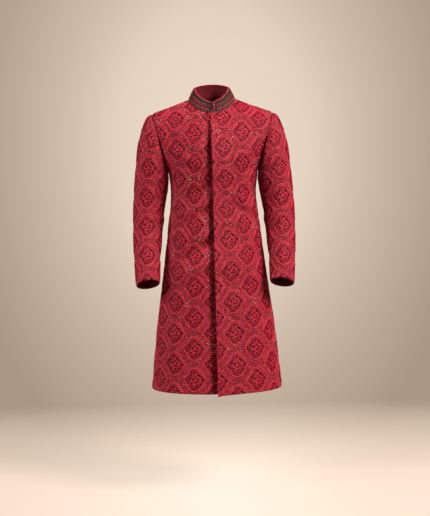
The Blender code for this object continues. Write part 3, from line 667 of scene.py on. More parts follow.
class Cloth:
    """One piece's outer surface with the flat coordinates of its points: s to the right as seen from outside, t up."""

    def __init__(self, surface, normals, up, ref):
        """Both start from 0 on the column ref. climb is how far that column rises with the cloth, row by row."""
        self.surface, self.normals = surface, normals
        rise = unit(up - np.sum(up * normals, axis=-1, keepdims=True) * normals)
        step = np.diff(surface, axis=1)
        ways = (np.cross(rise, normals), rise)
        lines = [running(np.sum(step * (way[:, 1:] + way[:, :-1]) / 2, axis=-1)) for way in ways]
        self.flat = np.stack([line - line[:, ref : ref + 1] for line in lines], axis=-1)
        step = np.diff(surface[:, ref], axis=0)
        self.climb = running(np.sum(step * (rise[1:, ref] + rise[:-1, ref]) / 2, axis=-1))

    def read(self, field, i, j):
        """A field of the grid at fractional places, carried on straight past the borders."""
        rows, columns = field.shape[:2]
        a = np.clip(np.floor(i).astype(int), 0, rows - 2)
        b = np.clip(np.floor(j).astype(int), 0, columns - 2)
        u, v = (np.clip(i - a, 0, 1)[:, None], np.clip(j - b, 0, 1)[:, None])
        p00, p10, p01, p11 = field[a, b], field[a + 1, b], field[a, b + 1], field[a + 1, b + 1]
        di = (p10 - p00) * (1 - v) + (p11 - p01) * v
        dj = (p01 - p00) * (1 - u) + (p11 - p10) * u
        value = p00 + (p10 - p00) * u + (p01 - p00) * v + (p11 - p10 - p01 + p00) * u * v
        value = value + di * ((i - a)[:, None] - u) + dj * ((j - b)[:, None] - v)
        return value, di, dj

    def locate(self, flat):
        """Fractional grid places of flat coordinates: the nearest of a sparse set of points, then Newton's steps."""
        sparse = self.flat[::SPARSE, ::SPARSE]
        columns = sparse.shape[1]
        low, high = flat.min(axis=0) - SEARCH_MARGIN, flat.max(axis=0) + SEARCH_MARGIN
        within = ((sparse > low) & (sparse < high)).all(axis=-1).ravel()
        if not within.any():
            within[:] = True
        index = np.flatnonzero(within)
        near = sparse.reshape(-1, 2)[index]
        gap = (flat[:, None, 0] - near[None, :, 0]) ** 2 + (flat[:, None, 1] - near[None, :, 1]) ** 2
        places = zip(np.divmod(index[np.argmin(gap, axis=1)], columns), self.flat.shape)
        i, j = (np.minimum(float(SPARSE) * place, size - 1) for place, size in places)
        for _ in range(NEWTON_STEPS):
            value, di, dj = self.read(self.flat, i, j)
            miss = flat - value
            det = di[:, 0] * dj[:, 1] - di[:, 1] * dj[:, 0]
            det = np.where(np.abs(det) < 1e-9, 1e-9, det)
            i = i + np.clip((miss[:, 0] * dj[:, 1] - miss[:, 1] * dj[:, 0]) / det, -LONGEST_STEP, LONGEST_STEP)
            j = j + np.clip((di[:, 0] * miss[:, 1] - di[:, 1] * miss[:, 0]) / det, -LONGEST_STEP, LONGEST_STEP)
        return i, j

    def raise_from(self, flat, height):
        """Points at flat coordinates, height above the surface, and whether each lies on the piece. One that doesn't
        is sunk just under the surface beside the border."""
        i, j = self.locate(flat)
        rows, columns = self.flat.shape[:2]
        miss = np.linalg.norm(flat - self.read(self.flat, i, j)[0], axis=1)
        on = (i >= 0) & (i <= rows - 1) & (j >= 0) & (j <= columns - 1) & (miss < MISS_LIMIT)
        i, j = np.clip(i, BORDER, rows - 1 - BORDER), np.clip(j, BORDER, columns - 1 - BORDER)
        base = self.read(self.surface, i, j)[0]
        normal = unit(self.read(self.normals, i, j)[0])
        return base + normal * np.where(on, height, HIDDEN)[:, None], on


# ---------------------------------------------------------------- meshes


def put(name, data):
    """A new object in the scene."""
    made = bpy.data.objects.new(name, data)
    bpy.context.scene.collection.objects.link(made)
    return made


def mesh_object(name, points, faces, uv, numbers, materials, sharp=None):
    """One object from arrays. uv is a pair for each point, and numbers is a material number for each face."""
    data = bpy.data.meshes.new(name)
    sides = faces.shape[1]
    data.vertices.add(len(points))
    data.vertices.foreach_set("co", np.ascontiguousarray(points, np.float32).ravel())
    data.loops.add(faces.size)
    data.loops.foreach_set("vertex_index", np.ascontiguousarray(faces, np.int32).ravel())
    data.polygons.add(len(faces))
    data.polygons.foreach_set("loop_start", np.arange(0, faces.size, sides, dtype=np.int32))
    for material in materials:
        data.materials.append(material)
    data.polygons.foreach_set("material_index", np.ascontiguousarray(numbers, np.int32))
    layer = data.uv_layers.new(name="cloth")
    layer.data.foreach_set("uv", np.ascontiguousarray(uv[faces.ravel()], np.float32).ravel())
    data.update(calc_edges=True)
    data.shade_smooth()
    if sharp is not None:
        data.set_sharp_from_angle(angle=math.radians(sharp))
    return put(name, data)


def shell(grid, normals, low, high, seams=(), free=()):
    """A closed wall: points, four-sided faces, material numbers (0 outside, 1 inside) and the outer surface.

    seams and free name its borders: bottom, top, left and right as seen from outside. A seam is drawn down a little
    and a free edge is pressed thin."""
    rows, columns = grid.shape[:2]
    outer = np.full((rows, columns), float(high))
    inner = np.full((rows, columns), float(low))
    lines = {
        "bottom": [np.s_[0, :], np.s_[1, :]],
        "top": [np.s_[-1, :], np.s_[-2, :]],
        "left": [np.s_[:, 0], np.s_[:, 1]],
        "right": [np.s_[:, -1], np.s_[:, -2]],
    }
    for border in seams:
        edge, beside = lines[border]
        outer[edge] = high - SEAM_DIP
        outer[beside] = np.minimum(outer[beside], high - SEAM_DIP_BESIDE)
    for border in free:
        edge = lines[border][0]
        outer[edge] = outer[edge] * EDGE_THIN
        inner[edge] = inner[edge] * EDGE_THIN
    surface = grid + normals * outer[..., None]
    lining = grid + normals * inner[..., None]
    index = np.arange(rows * columns).reshape(rows, columns)
    cell = [index[:-1, :-1], index[:-1, 1:], index[1:, 1:], index[1:, :-1]]
    front = np.stack([c.ravel() for c in cell], axis=1)
    back = front[:, ::-1] + rows * columns
    ring = np.concatenate([index[0, :-1], index[:-1, -1], index[-1, :0:-1], index[:0:-1, 0]])
    after = np.roll(ring, -1)
    rim = np.stack([ring, ring + rows * columns, after + rows * columns, after], axis=1)
    faces = np.concatenate([front, back, rim])
    numbers = np.concatenate([np.zeros(len(front)), np.ones(len(back)), np.zeros(len(rim))])
    return np.concatenate([surface.reshape(-1, 3), lining.reshape(-1, 3)]), faces, numbers, surface


def strip_faces(rows, count, closed=True, fan=False):
    """Triangles between rows of count points each, and from the last row to one more point in its middle."""
    step = np.arange(count if closed else count - 1)
    after = (step + 1) % count
    faces = []
    for a in range(0, (rows - 1) * count, count):
        b = a + count
        faces += [np.stack([a + step, a + after, b + after], 1), np.stack([a + step, b + after, b + step], 1)]
    if fan:
        last = (rows - 1) * count
        faces.append(np.stack([last + step, last + after, np.full(count, rows * count)], 1))
    return np.concatenate(faces)


class Gathered:
    """Points, faces and material numbers, gathered part by part."""

    def __init__(self):
        self.points, self.faces, self.numbers, self.uv, self.count = [], [], [], [], 0

    def add(self, points, faces, numbers, uv=()):
        self.points.append(points)
        self.faces.append(faces + self.count)
        self.numbers.append(np.broadcast_to(numbers, len(faces)))
        self.uv.append(uv)
        self.count += len(points)

    def parts(self):
        return np.concatenate(self.points), np.concatenate(self.faces), np.concatenate(self.numbers)


class Patch(Gathered):
    """Raised stitching before it is laid on a cloth, in millimetres across, along and above it."""

    def done(self):
        points, faces, numbers = self.parts()
        return points * MM, faces, numbers

    def dome(self, outline, height, number, base=0.0, rings=CUSHION):
        """A low cushion of stitching over an outline that runs counter-clockwise."""
        middle = outline.mean(axis=0)
        n = len(outline)
        lift = [0.0 if r == 1.0 else height * (1 - r * r) ** 0.5 for r in rings]
        rows = [np.column_stack([middle + (outline - middle) * r, np.full(n, base + h)]) for r, h in zip(rings, lift)]
        rows[0][:, 2] -= SUNK
        points = np.concatenate(rows + [[[*middle, base + height]]])
        self.add(points, strip_faces(len(rings), n, fan=True), number)

    def ridge(self, path, width, height, number, base=0.0, closed=False, flat=False):
        """A cord couched along a path, with its ends tapered. flat gives it a broad top."""
        n = len(path)
        if closed:
            along = np.roll(path, -1, axis=0) - np.roll(path, 1, axis=0)
            taper = np.ones(n)
        else:
            along = np.gradient(path, axis=0)
            from_end = np.minimum(np.arange(n), np.arange(n)[::-1])
            taper = np.minimum(1.0, CORD_END + from_end / 2)
        side = unit(np.stack([-along[:, 1], along[:, 0]], 1))
        top = (-CORD_TOP, CORD_TOP) if flat else (0.0,)
        profile = [(-CORD_FOOT, -SUNK), *((x, height) for x in top), (CORD_FOOT, -SUNK)]
        rows = [
            np.column_stack([path + side * (width * x * taper)[:, None], base + np.where(z > 0, z * taper, z)])
            for x, z in profile
        ]
        self.add(np.concatenate(rows), strip_faces(len(profile), n, closed), number)


def oval(centre, length, width, turn=0.0, count=10, point=0.0):
    """A counter-clockwise oval. point draws its ends out to a leaf's tips."""
    angle = np.arange(count) * 2 * math.pi / count
    x = np.cos(angle)
    y = np.sin(angle) * (1 - point * np.abs(x) ** 1.5)
    c, s = math.cos(math.radians(turn)), math.sin(math.radians(turn))
    x, y = x * length / 2, y * width / 2
    return np.column_stack([centre[0] + x * c - y * s, centre[1] + x * s + y * c])


def arc(centre, radius, start, end, count=8):
    angle = np.radians(np.linspace(start, end, count))
    return np.column_stack([centre[0] + radius * np.cos(angle), centre[1] + radius * np.sin(angle)])


# ---------------------------------------------------------------- the medallion


def ogee(scale=1.0, count=12):
    """The medallion's outline, counter-clockwise from its right cusp."""
    a, b = MEDALLION_HALF_WIDTH * scale, MEDALLION_HALF_HEIGHT * scale
    t = np.linspace(0, 1, count, endpoint=False)[:, None]
    quarter = bezier(t, *np.array([(a, 0.0), *((x * a, y * b) for x, y in OGEE_HANDLES), (0.0, b)]))
    upper = np.concatenate([quarter, [[0.0, b]], quarter[:0:-1] * (-1, 1)])
    return np.concatenate([upper, upper * (-1, -1)])


def pad_height(p, q):
    """How high the medallion's padded ground stands."""
    reach = (p / (PAD_WIDTH * MEDALLION_HALF_WIDTH)) ** 2 + (q / MEDALLION_HALF_HEIGHT) ** 2
    return PAD_EDGE + PAD_RISE * np.maximum(0.0, 1 - reach)


def medallion():
    """One ogee medallion with a bunch of flowers in it."""
    patch = Patch()
    outline = ogee(PAD_SCALE)
    n = len(outline)
    rows = [np.column_stack([outline * r, pad_height(*(outline * r).T)]) for r in PAD_RINGS]
    rows[0][:, 2] = -SUNK
    pad = np.concatenate(rows + [[[0, 0, pad_height(0, 0)]]])
    faces = strip_faces(len(PAD_RINGS), n, fan=True)
    patch.add(pad, faces[: 4 * n], FILL)  # the two outer rings
    patch.add(pad, faces[4 * n :], DEEP)

    patch.ridge(ogee(1.0), 2.8, 1.4, CORD, closed=True, flat=True)
    inner = ogee(LINE_SCALE)
    patch.ridge(inner, 1.3, 0.5, SCROLL, base=pad_height(*inner.T), closed=True)

    for x, y, radius in ROSETTES:
        base = pad_height(x, y)
        patch.dome(oval((x, y), 2 * radius, 2 * radius, count=12), 0.7, ROSETTE, base)
        ring = oval((x, y), 2.3 * radius, 2.3 * radius, count=14)
        patch.ridge(ring, 1.7, 1.0, MAROON, base=base, closed=True)
        for k in range(ROSETTE_PETALS):
            turn = k * 360 / ROSETTE_PETALS + 9 * radius
            at = np.array([math.cos(math.radians(turn)), math.sin(math.radians(turn))]) * 0.55 * radius + (x, y)
            petal = oval(at, 0.62 * radius, 0.42 * radius, turn, 6, 0.3)
            patch.dome(petal, 1.3, SCROLL if k % 2 else MAROON, base, DOT)
        patch.dome(oval((x, y), 0.42 * radius, 0.42 * radius, count=6), 1.6, SCROLL, base, DOT)
    for x, y, length, width, turn, glint in LEAVES:
        base = pad_height(x, y)
        patch.dome(oval((x, y), length, width, turn, 10, 0.35), 1.0, LEAF if glint else MAROON, base)
        if glint:
            dot = (x + 0.1 * length, y + 0.15 * length)
            patch.dome(oval(dot, 2.1, 1.5, turn, 6), 1.4, GOLD, base, DOT)
    patch.dome(oval((1.5, 1.0), 5.0, 5.0, count=8), 1.4, CORD, pad_height(1, 1))
    for x, y, radius, start, end in SCROLLS:
        path = arc((x, y), radius, start, end)
        patch.ridge(path, 1.3, 0.7, SCROLL, base=pad_height(*path.T))
    for x, y, length, width, turn in PETALS:
        patch.dome(oval((x, y), length, width, turn, 8, 0.4), 1.3, CORD, pad_height(x, y), SMALL_LEAF)
    return patch.done()


def sprig():
    """The small leaves between one medallion and the next below it."""
    patch = Patch()
    for turn, reach, length, width in SPRIG_LEAVES:
        away = math.radians(turn)
        centre = (reach * math.cos(away) * 1.35, reach * math.sin(away) * 0.75)
        patch.dome(oval(centre, length, width, turn * 0.55 + 40, 8, 0.45), 0.6, MAROON, rings=SMALL_LEAF)
    patch.dome(oval((0, 0), 3.2, 3.2, count=6), 0.9, SCROLL, rings=DOT)
    return patch.done()


def sequin():
    patch = Patch()
    patch.dome(oval((0, 0), SEQUIN_SIZE, SEQUIN_SIZE, count=7), 0.7, GOLD, rings=DOT)
    return patch.done()


TORN_SHARE, TORN_LENGTH = 1.6, 0.002  # an edge that grows past this when it is laid is torn
SHARP_CLOTH, SHARP_STITCH = 50, 60  # degrees


class Embroidery(Gathered):
    """All the stitching of one cloth, gathered into one object. limit says which flat places may be stitched."""

    def __init__(self, cloth, limit=None):
        super().__init__()
        self.cloth, self.limit = cloth, limit

    def lay(self, patch, s, t, turn=0.0, wide=1.0):
        """Lays a patch with its middle at s, t. Triangles that leave the piece or are torn by its border are left
        out."""
        points, faces, numbers = patch
        points = points * (wide, 1.0, 1.0)
        c, n = math.cos(turn), math.sin(turn)
        flat = np.column_stack([s + points[:, 0] * c - points[:, 1] * n, t + points[:, 0] * n + points[:, 1] * c])
        placed, on = self.cloth.raise_from(flat, points[:, 2])
        keep = on[faces].any(axis=1)
        for a, b in ((0, 1), (1, 2), (2, 0)):
            length = np.linalg.norm(flat[faces[:, a]] - flat[faces[:, b]], axis=1)
            raised = np.linalg.norm(placed[faces[:, a]] - placed[faces[:, b]], axis=1)
            keep &= raised < TORN_SHARE * length + TORN_LENGTH
        if self.limit is not None:
            keep &= self.limit(flat)[faces].all(axis=1)
        if not keep.any():
            return
        used = np.unique(faces[keep])
        number_of = np.full(len(points), -1)
        number_of[used] = np.arange(len(used))
        self.add(placed[used], number_of[faces[keep]], numbers[keep], flat[used])

    def build(self, name, materials):
        points, faces, numbers = self.parts()
        return mesh_object(name, points, faces, np.concatenate(self.uv), numbers, materials, SHARP_STITCH)


# ---------------------------------------------------------------- materials

SEEDS = 215.0  # seed stitches to the metre
GROUND_DARK, GROUND_LIGHT = (121, 10, 25), (145, 18, 36)
GROUND_NET, GROUND_FLECK = (90, 6, 18), (203, 80, 94)
SHEEN = (0.9, 0.25, 0.32, 1.0)


def srgb(*screen):
    """A colour named by its 0 to 255 screen values, as the linear colour that shaders take."""
    return (*(c / 255 / 12.92 if c <= 10 else ((c / 255 + 0.055) / 1.055) ** 2.4 for c in screen), 1.0)


class Nodes:
    """A tree of shader nodes, made one by one."""

    def __init__(self, tree):
        self.tree = tree

    def node(self, kind, inputs=None, **settings):
        made = self.tree.nodes.new(kind)
        for name, value in settings.items():
            setattr(made, name, value)
        for socket, value in (inputs or {}).items():
            if isinstance(value, bpy.types.NodeSocket):
                self.tree.links.new(value, made.inputs[socket])
            else:
                made.inputs[socket].default_value = value
        return made

    def vector(self, operation, a, b=(0.0, 0.0, 0.0)):
        made = self.node("ShaderNodeVectorMath", {0: a, 1: b}, operation=operation)
        return made.outputs["Value" if operation == "LENGTH" else "Vector"]


class Shader(Nodes):
    """A principled material with the cloth's flat coordinates."""

    def __init__(self, name, roughness, **constants):
        self.material = bpy.data.materials.new(name)
        self.material.use_nodes = True
        super().__init__(self.material.node_tree)
        self.principled = self.tree.nodes["Principled BSDF"]
        self.principled.inputs["Roughness"].default_value = roughness
        for socket, value in constants.items():
            self.principled.inputs[socket.replace("_", " ")].default_value = value
        self.uv = self.node("ShaderNodeUVMap", uv_map="cloth").outputs[0]

    def noise(self, scale):
        inputs = {"Vector": self.uv, "Scale": scale, "Detail": 3.0, "Roughness": 0.55}
        return self.node("ShaderNodeTexNoise", inputs).outputs["Fac"]

    def cells(self, scale, output="Distance", stretch=(1.0, 1.0, 1.0)):
        inputs = {"Vector": self.vector("MULTIPLY", self.uv, stretch), "Scale": scale, "Randomness": 1.0}
        return self.node("ShaderNodeTexVoronoi", inputs, feature="F1").outputs[output]

    def waves(self, scale, direction="DIAGONAL", distortion=0.0):
        inputs = {"Vector": self.uv, "Scale": scale, "Distortion": distortion}
        return self.node("ShaderNodeTexWave", inputs, bands_direction=direction).outputs["Fac"]

    def math(self, operation, a, b):
        return self.node("ShaderNodeMath", {0: a, 1: b}, operation=operation).outputs[0]

    def span(self, value, low, high, to_low=0.0, to_high=1.0):
        inputs = {"Value": value, "From Min": low, "From Max": high, "To Min": to_low, "To Max": to_high}
        return self.node("ShaderNodeMapRange", inputs, clamp=True).outputs["Result"]

    def mix(self, share, a, b):
        return self.node("ShaderNodeMix", {0: share, 6: a, 7: b}, data_type="RGBA").outputs[2]

    def drive(self, socket, value):
        self.tree.links.new(value, self.principled.inputs[socket])

    def bump(self, height, strength, distance):
        made = self.node("ShaderNodeBump", {"Height": height, "Strength": strength, "Distance": distance})
        self.drive("Normal", made.outputs[0])
        return self.material


def ground_cloth():
    """Dull crimson cloth with a dark net in it, strewn with short pale seed stitches that lie two ways."""
    shader = Shader("brocade_ground", 0.75, Sheen_Weight=0.12, Sheen_Tint=SHEEN, Specular_IOR_Level=0.15)
    net = shader.cells(430.0)
    seeds = []
    for stretch in ((1.0, 2.1, 1.0), (2.1, 1.0, 1.0)):
        chosen = shader.node("ShaderNodeSeparateColor", {0: shader.cells(SEEDS, "Color", stretch)}).outputs[0]
        spot = shader.span(shader.cells(SEEDS, stretch=stretch), 0.42, 0.27)
        seeds.append(shader.math("MULTIPLY", shader.span(chosen, 0.42, 0.85), spot))
    seed = shader.math("MAXIMUM", *seeds)
    base = shader.mix(shader.span(shader.noise(38.0), 0.35, 0.65), srgb(*GROUND_DARK), srgb(*GROUND_LIGHT))
    lined = shader.mix(shader.span(net, 0.30, 0.62), base, srgb(*GROUND_NET))
    shader.drive("Base Color", shader.mix(shader.math("MULTIPLY", seed, 0.9), lined, srgb(*GROUND_FLECK)))
    weave = shader.math("ADD", shader.waves(260.0, "X", 1.5), shader.waves(260.0, "Y", 1.5))
    relief = shader.math("ADD", shader.span(net, 0.0, 0.6, 1.0, 0.0), shader.math("MULTIPLY", weave, 0.25))
    relief = shader.math("ADD", relief, shader.math("MULTIPLY", seed, 0.8))
    return shader.bump(relief, 0.55, 0.0006)


def inner_cloth():
    """The plain dark crimson cloth of the coat's inside."""
    shader = Shader("brocade_inside", 0.8, Sheen_Weight=0.06, Sheen_Tint=SHEEN, Specular_IOR_Level=0.15)
    weave = shader.math("MULTIPLY", shader.waves(330.0, "X", 0.8), shader.waves(330.0, "Y", 0.8))
    base = shader.mix(shader.noise(22.0), srgb(82, 12, 24), srgb(104, 18, 32))
    shader.drive("Base Color", shader.mix(shader.math("MULTIPLY", weave, 0.5), base, srgb(56, 8, 16)))
    return shader.bump(weave, 0.4, 0.0004)


def thread(name, dark, light, scale, roughness, sheen, metallic=0.0, strength=0.6, shine=0.2):
    """Satin stitches side by side, each catching the light a little differently."""
    shader = Shader(name, roughness, Sheen_Weight=sheen, Sheen_Tint=SHEEN, Metallic=metallic, Specular_IOR_Level=shine)
    stitch = shader.waves(scale, distortion=2.5)
    tone = shader.math("ADD", shader.math("MULTIPLY", shader.noise(150.0), 0.7), shader.math("MULTIPLY", stitch, 0.45))
    shader.drive("Base Color", shader.mix(shader.span(tone, 0.3, 0.85), srgb(*dark), srgb(*light)))
    shader.drive("Roughness", shader.span(shader.noise(300.0), 0.3, 0.7, roughness - 0.08, roughness + 0.1))
    return shader.bump(stitch, strength, 0.0004)


def stitching_materials():
    """In the order of the stitching's material numbers."""
    return [
        thread("cord_crimson", (174, 18, 46), (214, 41, 71), 420.0, 0.5, 0.08),
        thread("fill_crimson", (108, 8, 26), (142, 15, 41), 360.0, 0.55, 0.05),
        thread("leaf_maroon", (18, 1, 3), (38, 3, 7), 400.0, 0.65, 0.0, shine=0.05),
        thread("leaf_bottle_green", (9, 5, 4), (24, 15, 11), 420.0, 0.6, 0.0, shine=0.07),
        thread("scroll_rose", (158, 14, 38), (200, 31, 59), 480.0, 0.45, 0.1),
        thread("sequin_gold", (186, 172, 144), (236, 228, 202), 300.0, 0.5, 0.0, 0.3, strength=0.2),
        thread("rosette_maroon", (82, 6, 18), (116, 11, 29), 400.0, 0.6, 0.05),
        thread("fill_deep", (112, 8, 24), (152, 15, 41), 360.0, 0.6, 0.04),
    ]


# ---------------------------------------------------------------- the coat


def body_ups(levels, columns, front):
    """The direction that counts as up the cloth. Over the shoulder it leans towards the shoulder seam."""
    lean = np.clip(levels - 1.0, 0.0, 1.0) ** 3 * (1.0 if front else -1.0)
    up = np.stack([np.zeros_like(lean), lean, np.ones_like(lean)], axis=1)
    return unit(np.repeat(up[:, None, :], columns, axis=1))


def sleeve_ups(columns, side):
    """Up the sleeve's own line, cuff first. The sleeve's head takes the line of the upper arm."""
    stations = RING_STATIONS[::-1]
    middles = [sum(sleeve_edges(sleeve_section(station))) / 2 for station in stations]
    up = unit(np.gradient(np.array(middles) * (side, 1, 1), axis=0))
    straight = np.argmin(np.abs(stations - ARM_STATION))
    up[straight:] = up[straight]
    return np.repeat(up[:, None, :], columns, axis=1)


def column_place(column, t):
    """A lattice column's s at t, and how far it leans."""
    places = column[:-1]
    heights = LATTICE_HEIGHTS if len(places) > 1 else (0.0,)
    below, here, above = np.interp([t - LEAN_SPAN, t, t + LEAN_SPAN], heights, places)
    return here, -math.atan((above - below) / (2 * LEAN_SPAN))


def lay_medallions(work, columns, pitch, phases, wider=0.0):
    """Every medallion of the lattice that can reach the piece, with its sprig below it. Gives their middles."""
    low, high = work.cloth.flat[..., 1].min(), work.cloth.flat[..., 1].max()
    middles = []
    for column in columns:
        for n in MEDALLION_NUMBERS:
            t = phases[column[-1]] - n * pitch
            if not low - MEDALLION_REACH < t < high + MEDALLION_REACH:
                continue
            s, turn = column_place(column, t)
            wide = 1 + wider * float(smooth_step((t - WIDENS_BELOW) / WIDENS_BELOW))
            work.lay(MEDALLION, s, t, turn, wide)
            below, _ = column_place(column, t - pitch / 2)
            work.lay(SPRIG, below, t - pitch / 2, turn)
            middles.append((s, t))
    return middles


def lay_sequins(work, middles, runs_at):
    """Short runs of sequins that follow a medallion's outside."""
    outline = ogee(1.0, 16) * MM
    outward = unit(outline)
    laid = [np.array([9.0, 9.0])]  # far from every piece, so that the first sequin has something to compare with
    for s, t in middles:
        for _ in range(runs_at(t)):
            start = int(RNG.integers(0, len(outline)))
            for _ in range(int(RNG.integers(*RUN_LENGTHS))):
                spot = (start + int(RNG.integers(0, RUN_SPREAD))) % len(outline)
                away = outward[spot] * RNG.uniform(*SEQUIN_RING) + RNG.uniform(-SEQUIN_STRAY, SEQUIN_STRAY, 2)
                spot = np.array([s, t]) + outline[spot] + away
                apart = np.linalg.norm(np.array(laid) - spot, axis=1).min() > SEQUINS_APART
                if apart and work.cloth.raise_from(spot + SEQUIN_CLEAR, np.zeros(4))[1].all():
                    work.lay(SEQUIN, *spot)
                    laid.append(spot)


def cloth_object(name, wall, cloth, materials):
    """The object of a shell, with its cloth's flat coordinates inside and out."""
    points, faces, numbers, _ = wall
    uv = np.concatenate([cloth.flat.reshape(-1, 2)] * 2)
    return mesh_object(name, points, faces, uv, numbers, materials, SHARP_CLOTH)


def sewn_piece(name, wall, cloth, cloths, lattice, runs_at, limit=None):
    """One piece's cloth, and all of its embroidery as one object."""
    ground, inside, stitching = cloths
    made = cloth_object(name + "_cloth", wall, cloth, [ground, inside])
    work = Embroidery(cloth, limit)
    lay_sequins(work, lay_medallions(work, *lattice), runs_at)
    return made, work.build(name + "_embroidery", stitching)


def build_panel(name, grid, normals, cloths):
    """A front, or one half of the back, with its embroidery."""
    front, left = name.startswith("front"), name.endswith("left")
    covered = front and not left  # the front that the other one laps over
    centre, outer = ("left", "right") if left == front else ("right", "left")  # the borders, as seen from outside
    seams, free = (("top", outer), ("bottom", centre)) if front else (("top", outer, centre), ("bottom",))
    wall = shell(grid, normals, -WALL / 2, WALL / 2, seams, free)
    surface = wall[-1]
    levels, columns = panel_levels(), grid.shape[1]
    ref = 0 if centre == "left" else columns - 1
    cloth = Cloth(surface, normals, body_ups(levels, columns, front), ref)
    last = SKIRT_ROWS + (FRONT_NECK_ROW if front else BACK_NECK_ROW)
    s_line = surface[:, ref, 0] * (1.0 if front else -1.0)
    if not front:
        s_line[: last + 1] = 0.0
    t_line = cloth.climb - cloth.climb[last] + surface[last, ref, 2]
    t_line[: last + 1] = panel_rails(levels, front)[0][: last + 1, 2]
    cloth.flat += np.stack([s_line, t_line], axis=-1)[:, None]

    def outside_lap(flat):
        share = np.clip((flat[:, 1] - HEM_Z) / (NECK_FRONT[1] - HEM_Z), 0, 1)
        return flat[:, 0] < -(LAP_HEM + (LAP_TOP - LAP_HEM) * share) + LAP_CLEAR

    def runs_at(t):
        return RICH_RUNS if covered and t > RICH_ABOVE else int(RNG.uniform() < PANEL_RUNS)

    columns = [(*(place * MM for place in places), phase) for *places, phase in LATTICE[name]]
    lattice = (columns, PITCH, PHASES, SKIRT_WIDER)
    return sewn_piece(name, wall, cloth, cloths, lattice, runs_at, outside_lap if covered else None)


def build_sleeve(name, grid, normals, cloths):
    """The upper or the under piece of a sleeve, with its embroidery."""
    upper, left = "upper" in name, name.endswith("left")
    wall = shell(grid, normals, -WALL / 2, WALL / 2, ("top", "left", "right"), ("bottom",))
    surface, columns = wall[-1], grid.shape[1]
    # The front seam is on the left of the left sleeve's upper piece, and the other pieces mirror that.
    front_first = left == upper
    ref = 0 if front_first else columns - 1
    cloth = Cloth(surface, normals, sleeve_ups(columns, 1.0 if left else -1.0), ref)
    line = travelled(surface[:, ref])
    cloth.flat[..., 1] += (line - line[-1])[:, None]
    direction = 1.0 if front_first else -1.0
    start = SLEEVE_START["left" if left else "right"]
    first = start if upper else -start
    places = [(direction * (k * SLEEVE_SPACING + first), "AB"[k % 2]) for k in SLEEVE_COLUMNS]
    lattice = (places, SLEEVE_PITCH, SLEEVE_PHASES)
    return sewn_piece(name, wall, cloth, cloths, lattice, lambda t: int(RNG.uniform() < SLEEVE_RUNS))


# ---------------------------------------------------------------- the collar

BAND_GROUND, BAND_BRONZE, BAND_GLINT, BAND_RED, BAND_DARK = range(5)
BAND_GAP, BAND_THICK = 0.0001, 0.0009
PIPING_X, PIPING_Z, PIPING_SIDES = 0.0018, 0.0013, 8
# In millimetres on the band: where its rows start, and how far from its other end they stop
BAND_START, BAND_STOP = 6.2, 13.0
CORD_POINTS, SCROLL_PITCH = 160, 14.8
LOW_ROPE, HIGH_ROPE, END_ROPE, DARK_ROPE = 9.516, 6.832, 6.67, 6.325  # how wide the ropes are
LOW_CORD = 13.8  # the lower of the two cords that the scrolls lie between
SCROLL_LEAVES = (  # x, y, the oval's size, turn, points and tips, its height, its two materials and its rings
    (2.2, 2.6, (3.0, 3.0, 0, 6), 0.8, (BAND_BRONZE, BAND_BRONZE), DOT),
    (4.6, -3.4, (5.8, 2.8, -38, 8, 0.45), 0.8, (BAND_RED, BAND_RED), SMALL_LEAF),
    (5.8, 2.0, (3.2, 2.0, 60, 8, 0.3), 0.7, (BAND_GLINT, BAND_BRONZE), SMALL_LEAF),
)


def collar_angle(x, share):
    """The angle round the neckline at which the collar's front reaches x."""
    reach = NECK_SIDE[0] + (COLLAR_TOP_SIDE[0] - NECK_SIDE[0]) * share
    return math.asin(x / reach)


def collar_rows(shares, start_x):
    """Points of the collar's middle surface: a row for each share of its height, from start_x on the wearer's left
    round the back to the other end, just past the centre, as seen from outside from left to right."""
    quarter = math.pi / 2
    front = np.linspace(0, quarter, YOKE_ROWS - FRONT_NECK_ROW + 1)
    back = np.linspace(0, quarter, YOKE_ROWS - BACK_NECK_ROW + 1)
    rows = []
    for share in shares:
        first, last = (collar_angle(x, share) for x in (start_x, COLLAR_MEET_X - SEAM_GAP))
        places = [(first + (quarter - first) * angle / quarter, True, 1) for angle in front]
        places += [(angle, False, 1) for angle in back[-2::-1]] + [(angle, False, -1) for angle in back[1:]]
        places += [(angle, True, -1) for angle in front[-2::-1]] + [(last, True, 1)]
        rows.append([collar_point(*place, share) for place in places])
    return np.array(rows)


class CollarCloth(Cloth):
    """The band's outer surface. s is the distance from its middle row's start, and t the height from its lower edge."""

    def __init__(self, surface, normals):
        self.surface, self.normals = surface, normals
        s = travelled(surface[len(surface) // 2])
        t = travelled(surface.swapaxes(0, 1)).T
        # Every column runs to the same height, so that the band's lines keep to its edges.
        self.length, self.height = s[-1], t[-1].mean()
        self.flat = np.stack([np.broadcast_to(s, t.shape), t / t[-1:] * self.height], axis=-1)


def lay_rope(work, start, end, across, width, pitch, numbers, turn=52, upright=False):
    """A twisted rope along the band, or up it: slanting strands side by side, in millimetres."""
    strands = []
    for number in numbers:
        patch = Patch()
        patch.dome(oval((0, 0), width, pitch * 0.92, turn, 10, 0.15), 1.3, number, rings=(1.0, 0.6))
        strands.append(patch.done())
    count = max(1, round((end - start) / pitch))
    for k in range(count):
        along = start + (k + 0.5) * (end - start) / count
        s, t = (across, along) if upright else (along, across)
        work.lay(strands[k % len(strands)], s * MM, t * MM)


def scroll_unit():
    """One repeat of the band's middle row: an S-shaped stem between leaves. Its halves are turns of each other."""
    patch = Patch()
    for side, start in ((1, -100), (-1, 80)):
        patch.ridge(arc((2.2 * side, 2.6 * side), 3.0, start, start + 250), 2.1, 1.0, BAND_RED)
    for x, y, size, height, numbers, rings in SCROLL_LEAVES:
        for side, number in zip((1, -1), numbers):
            patch.dome(oval((x * side, y * side), *size), height, number, rings=rings)
    return patch.done()


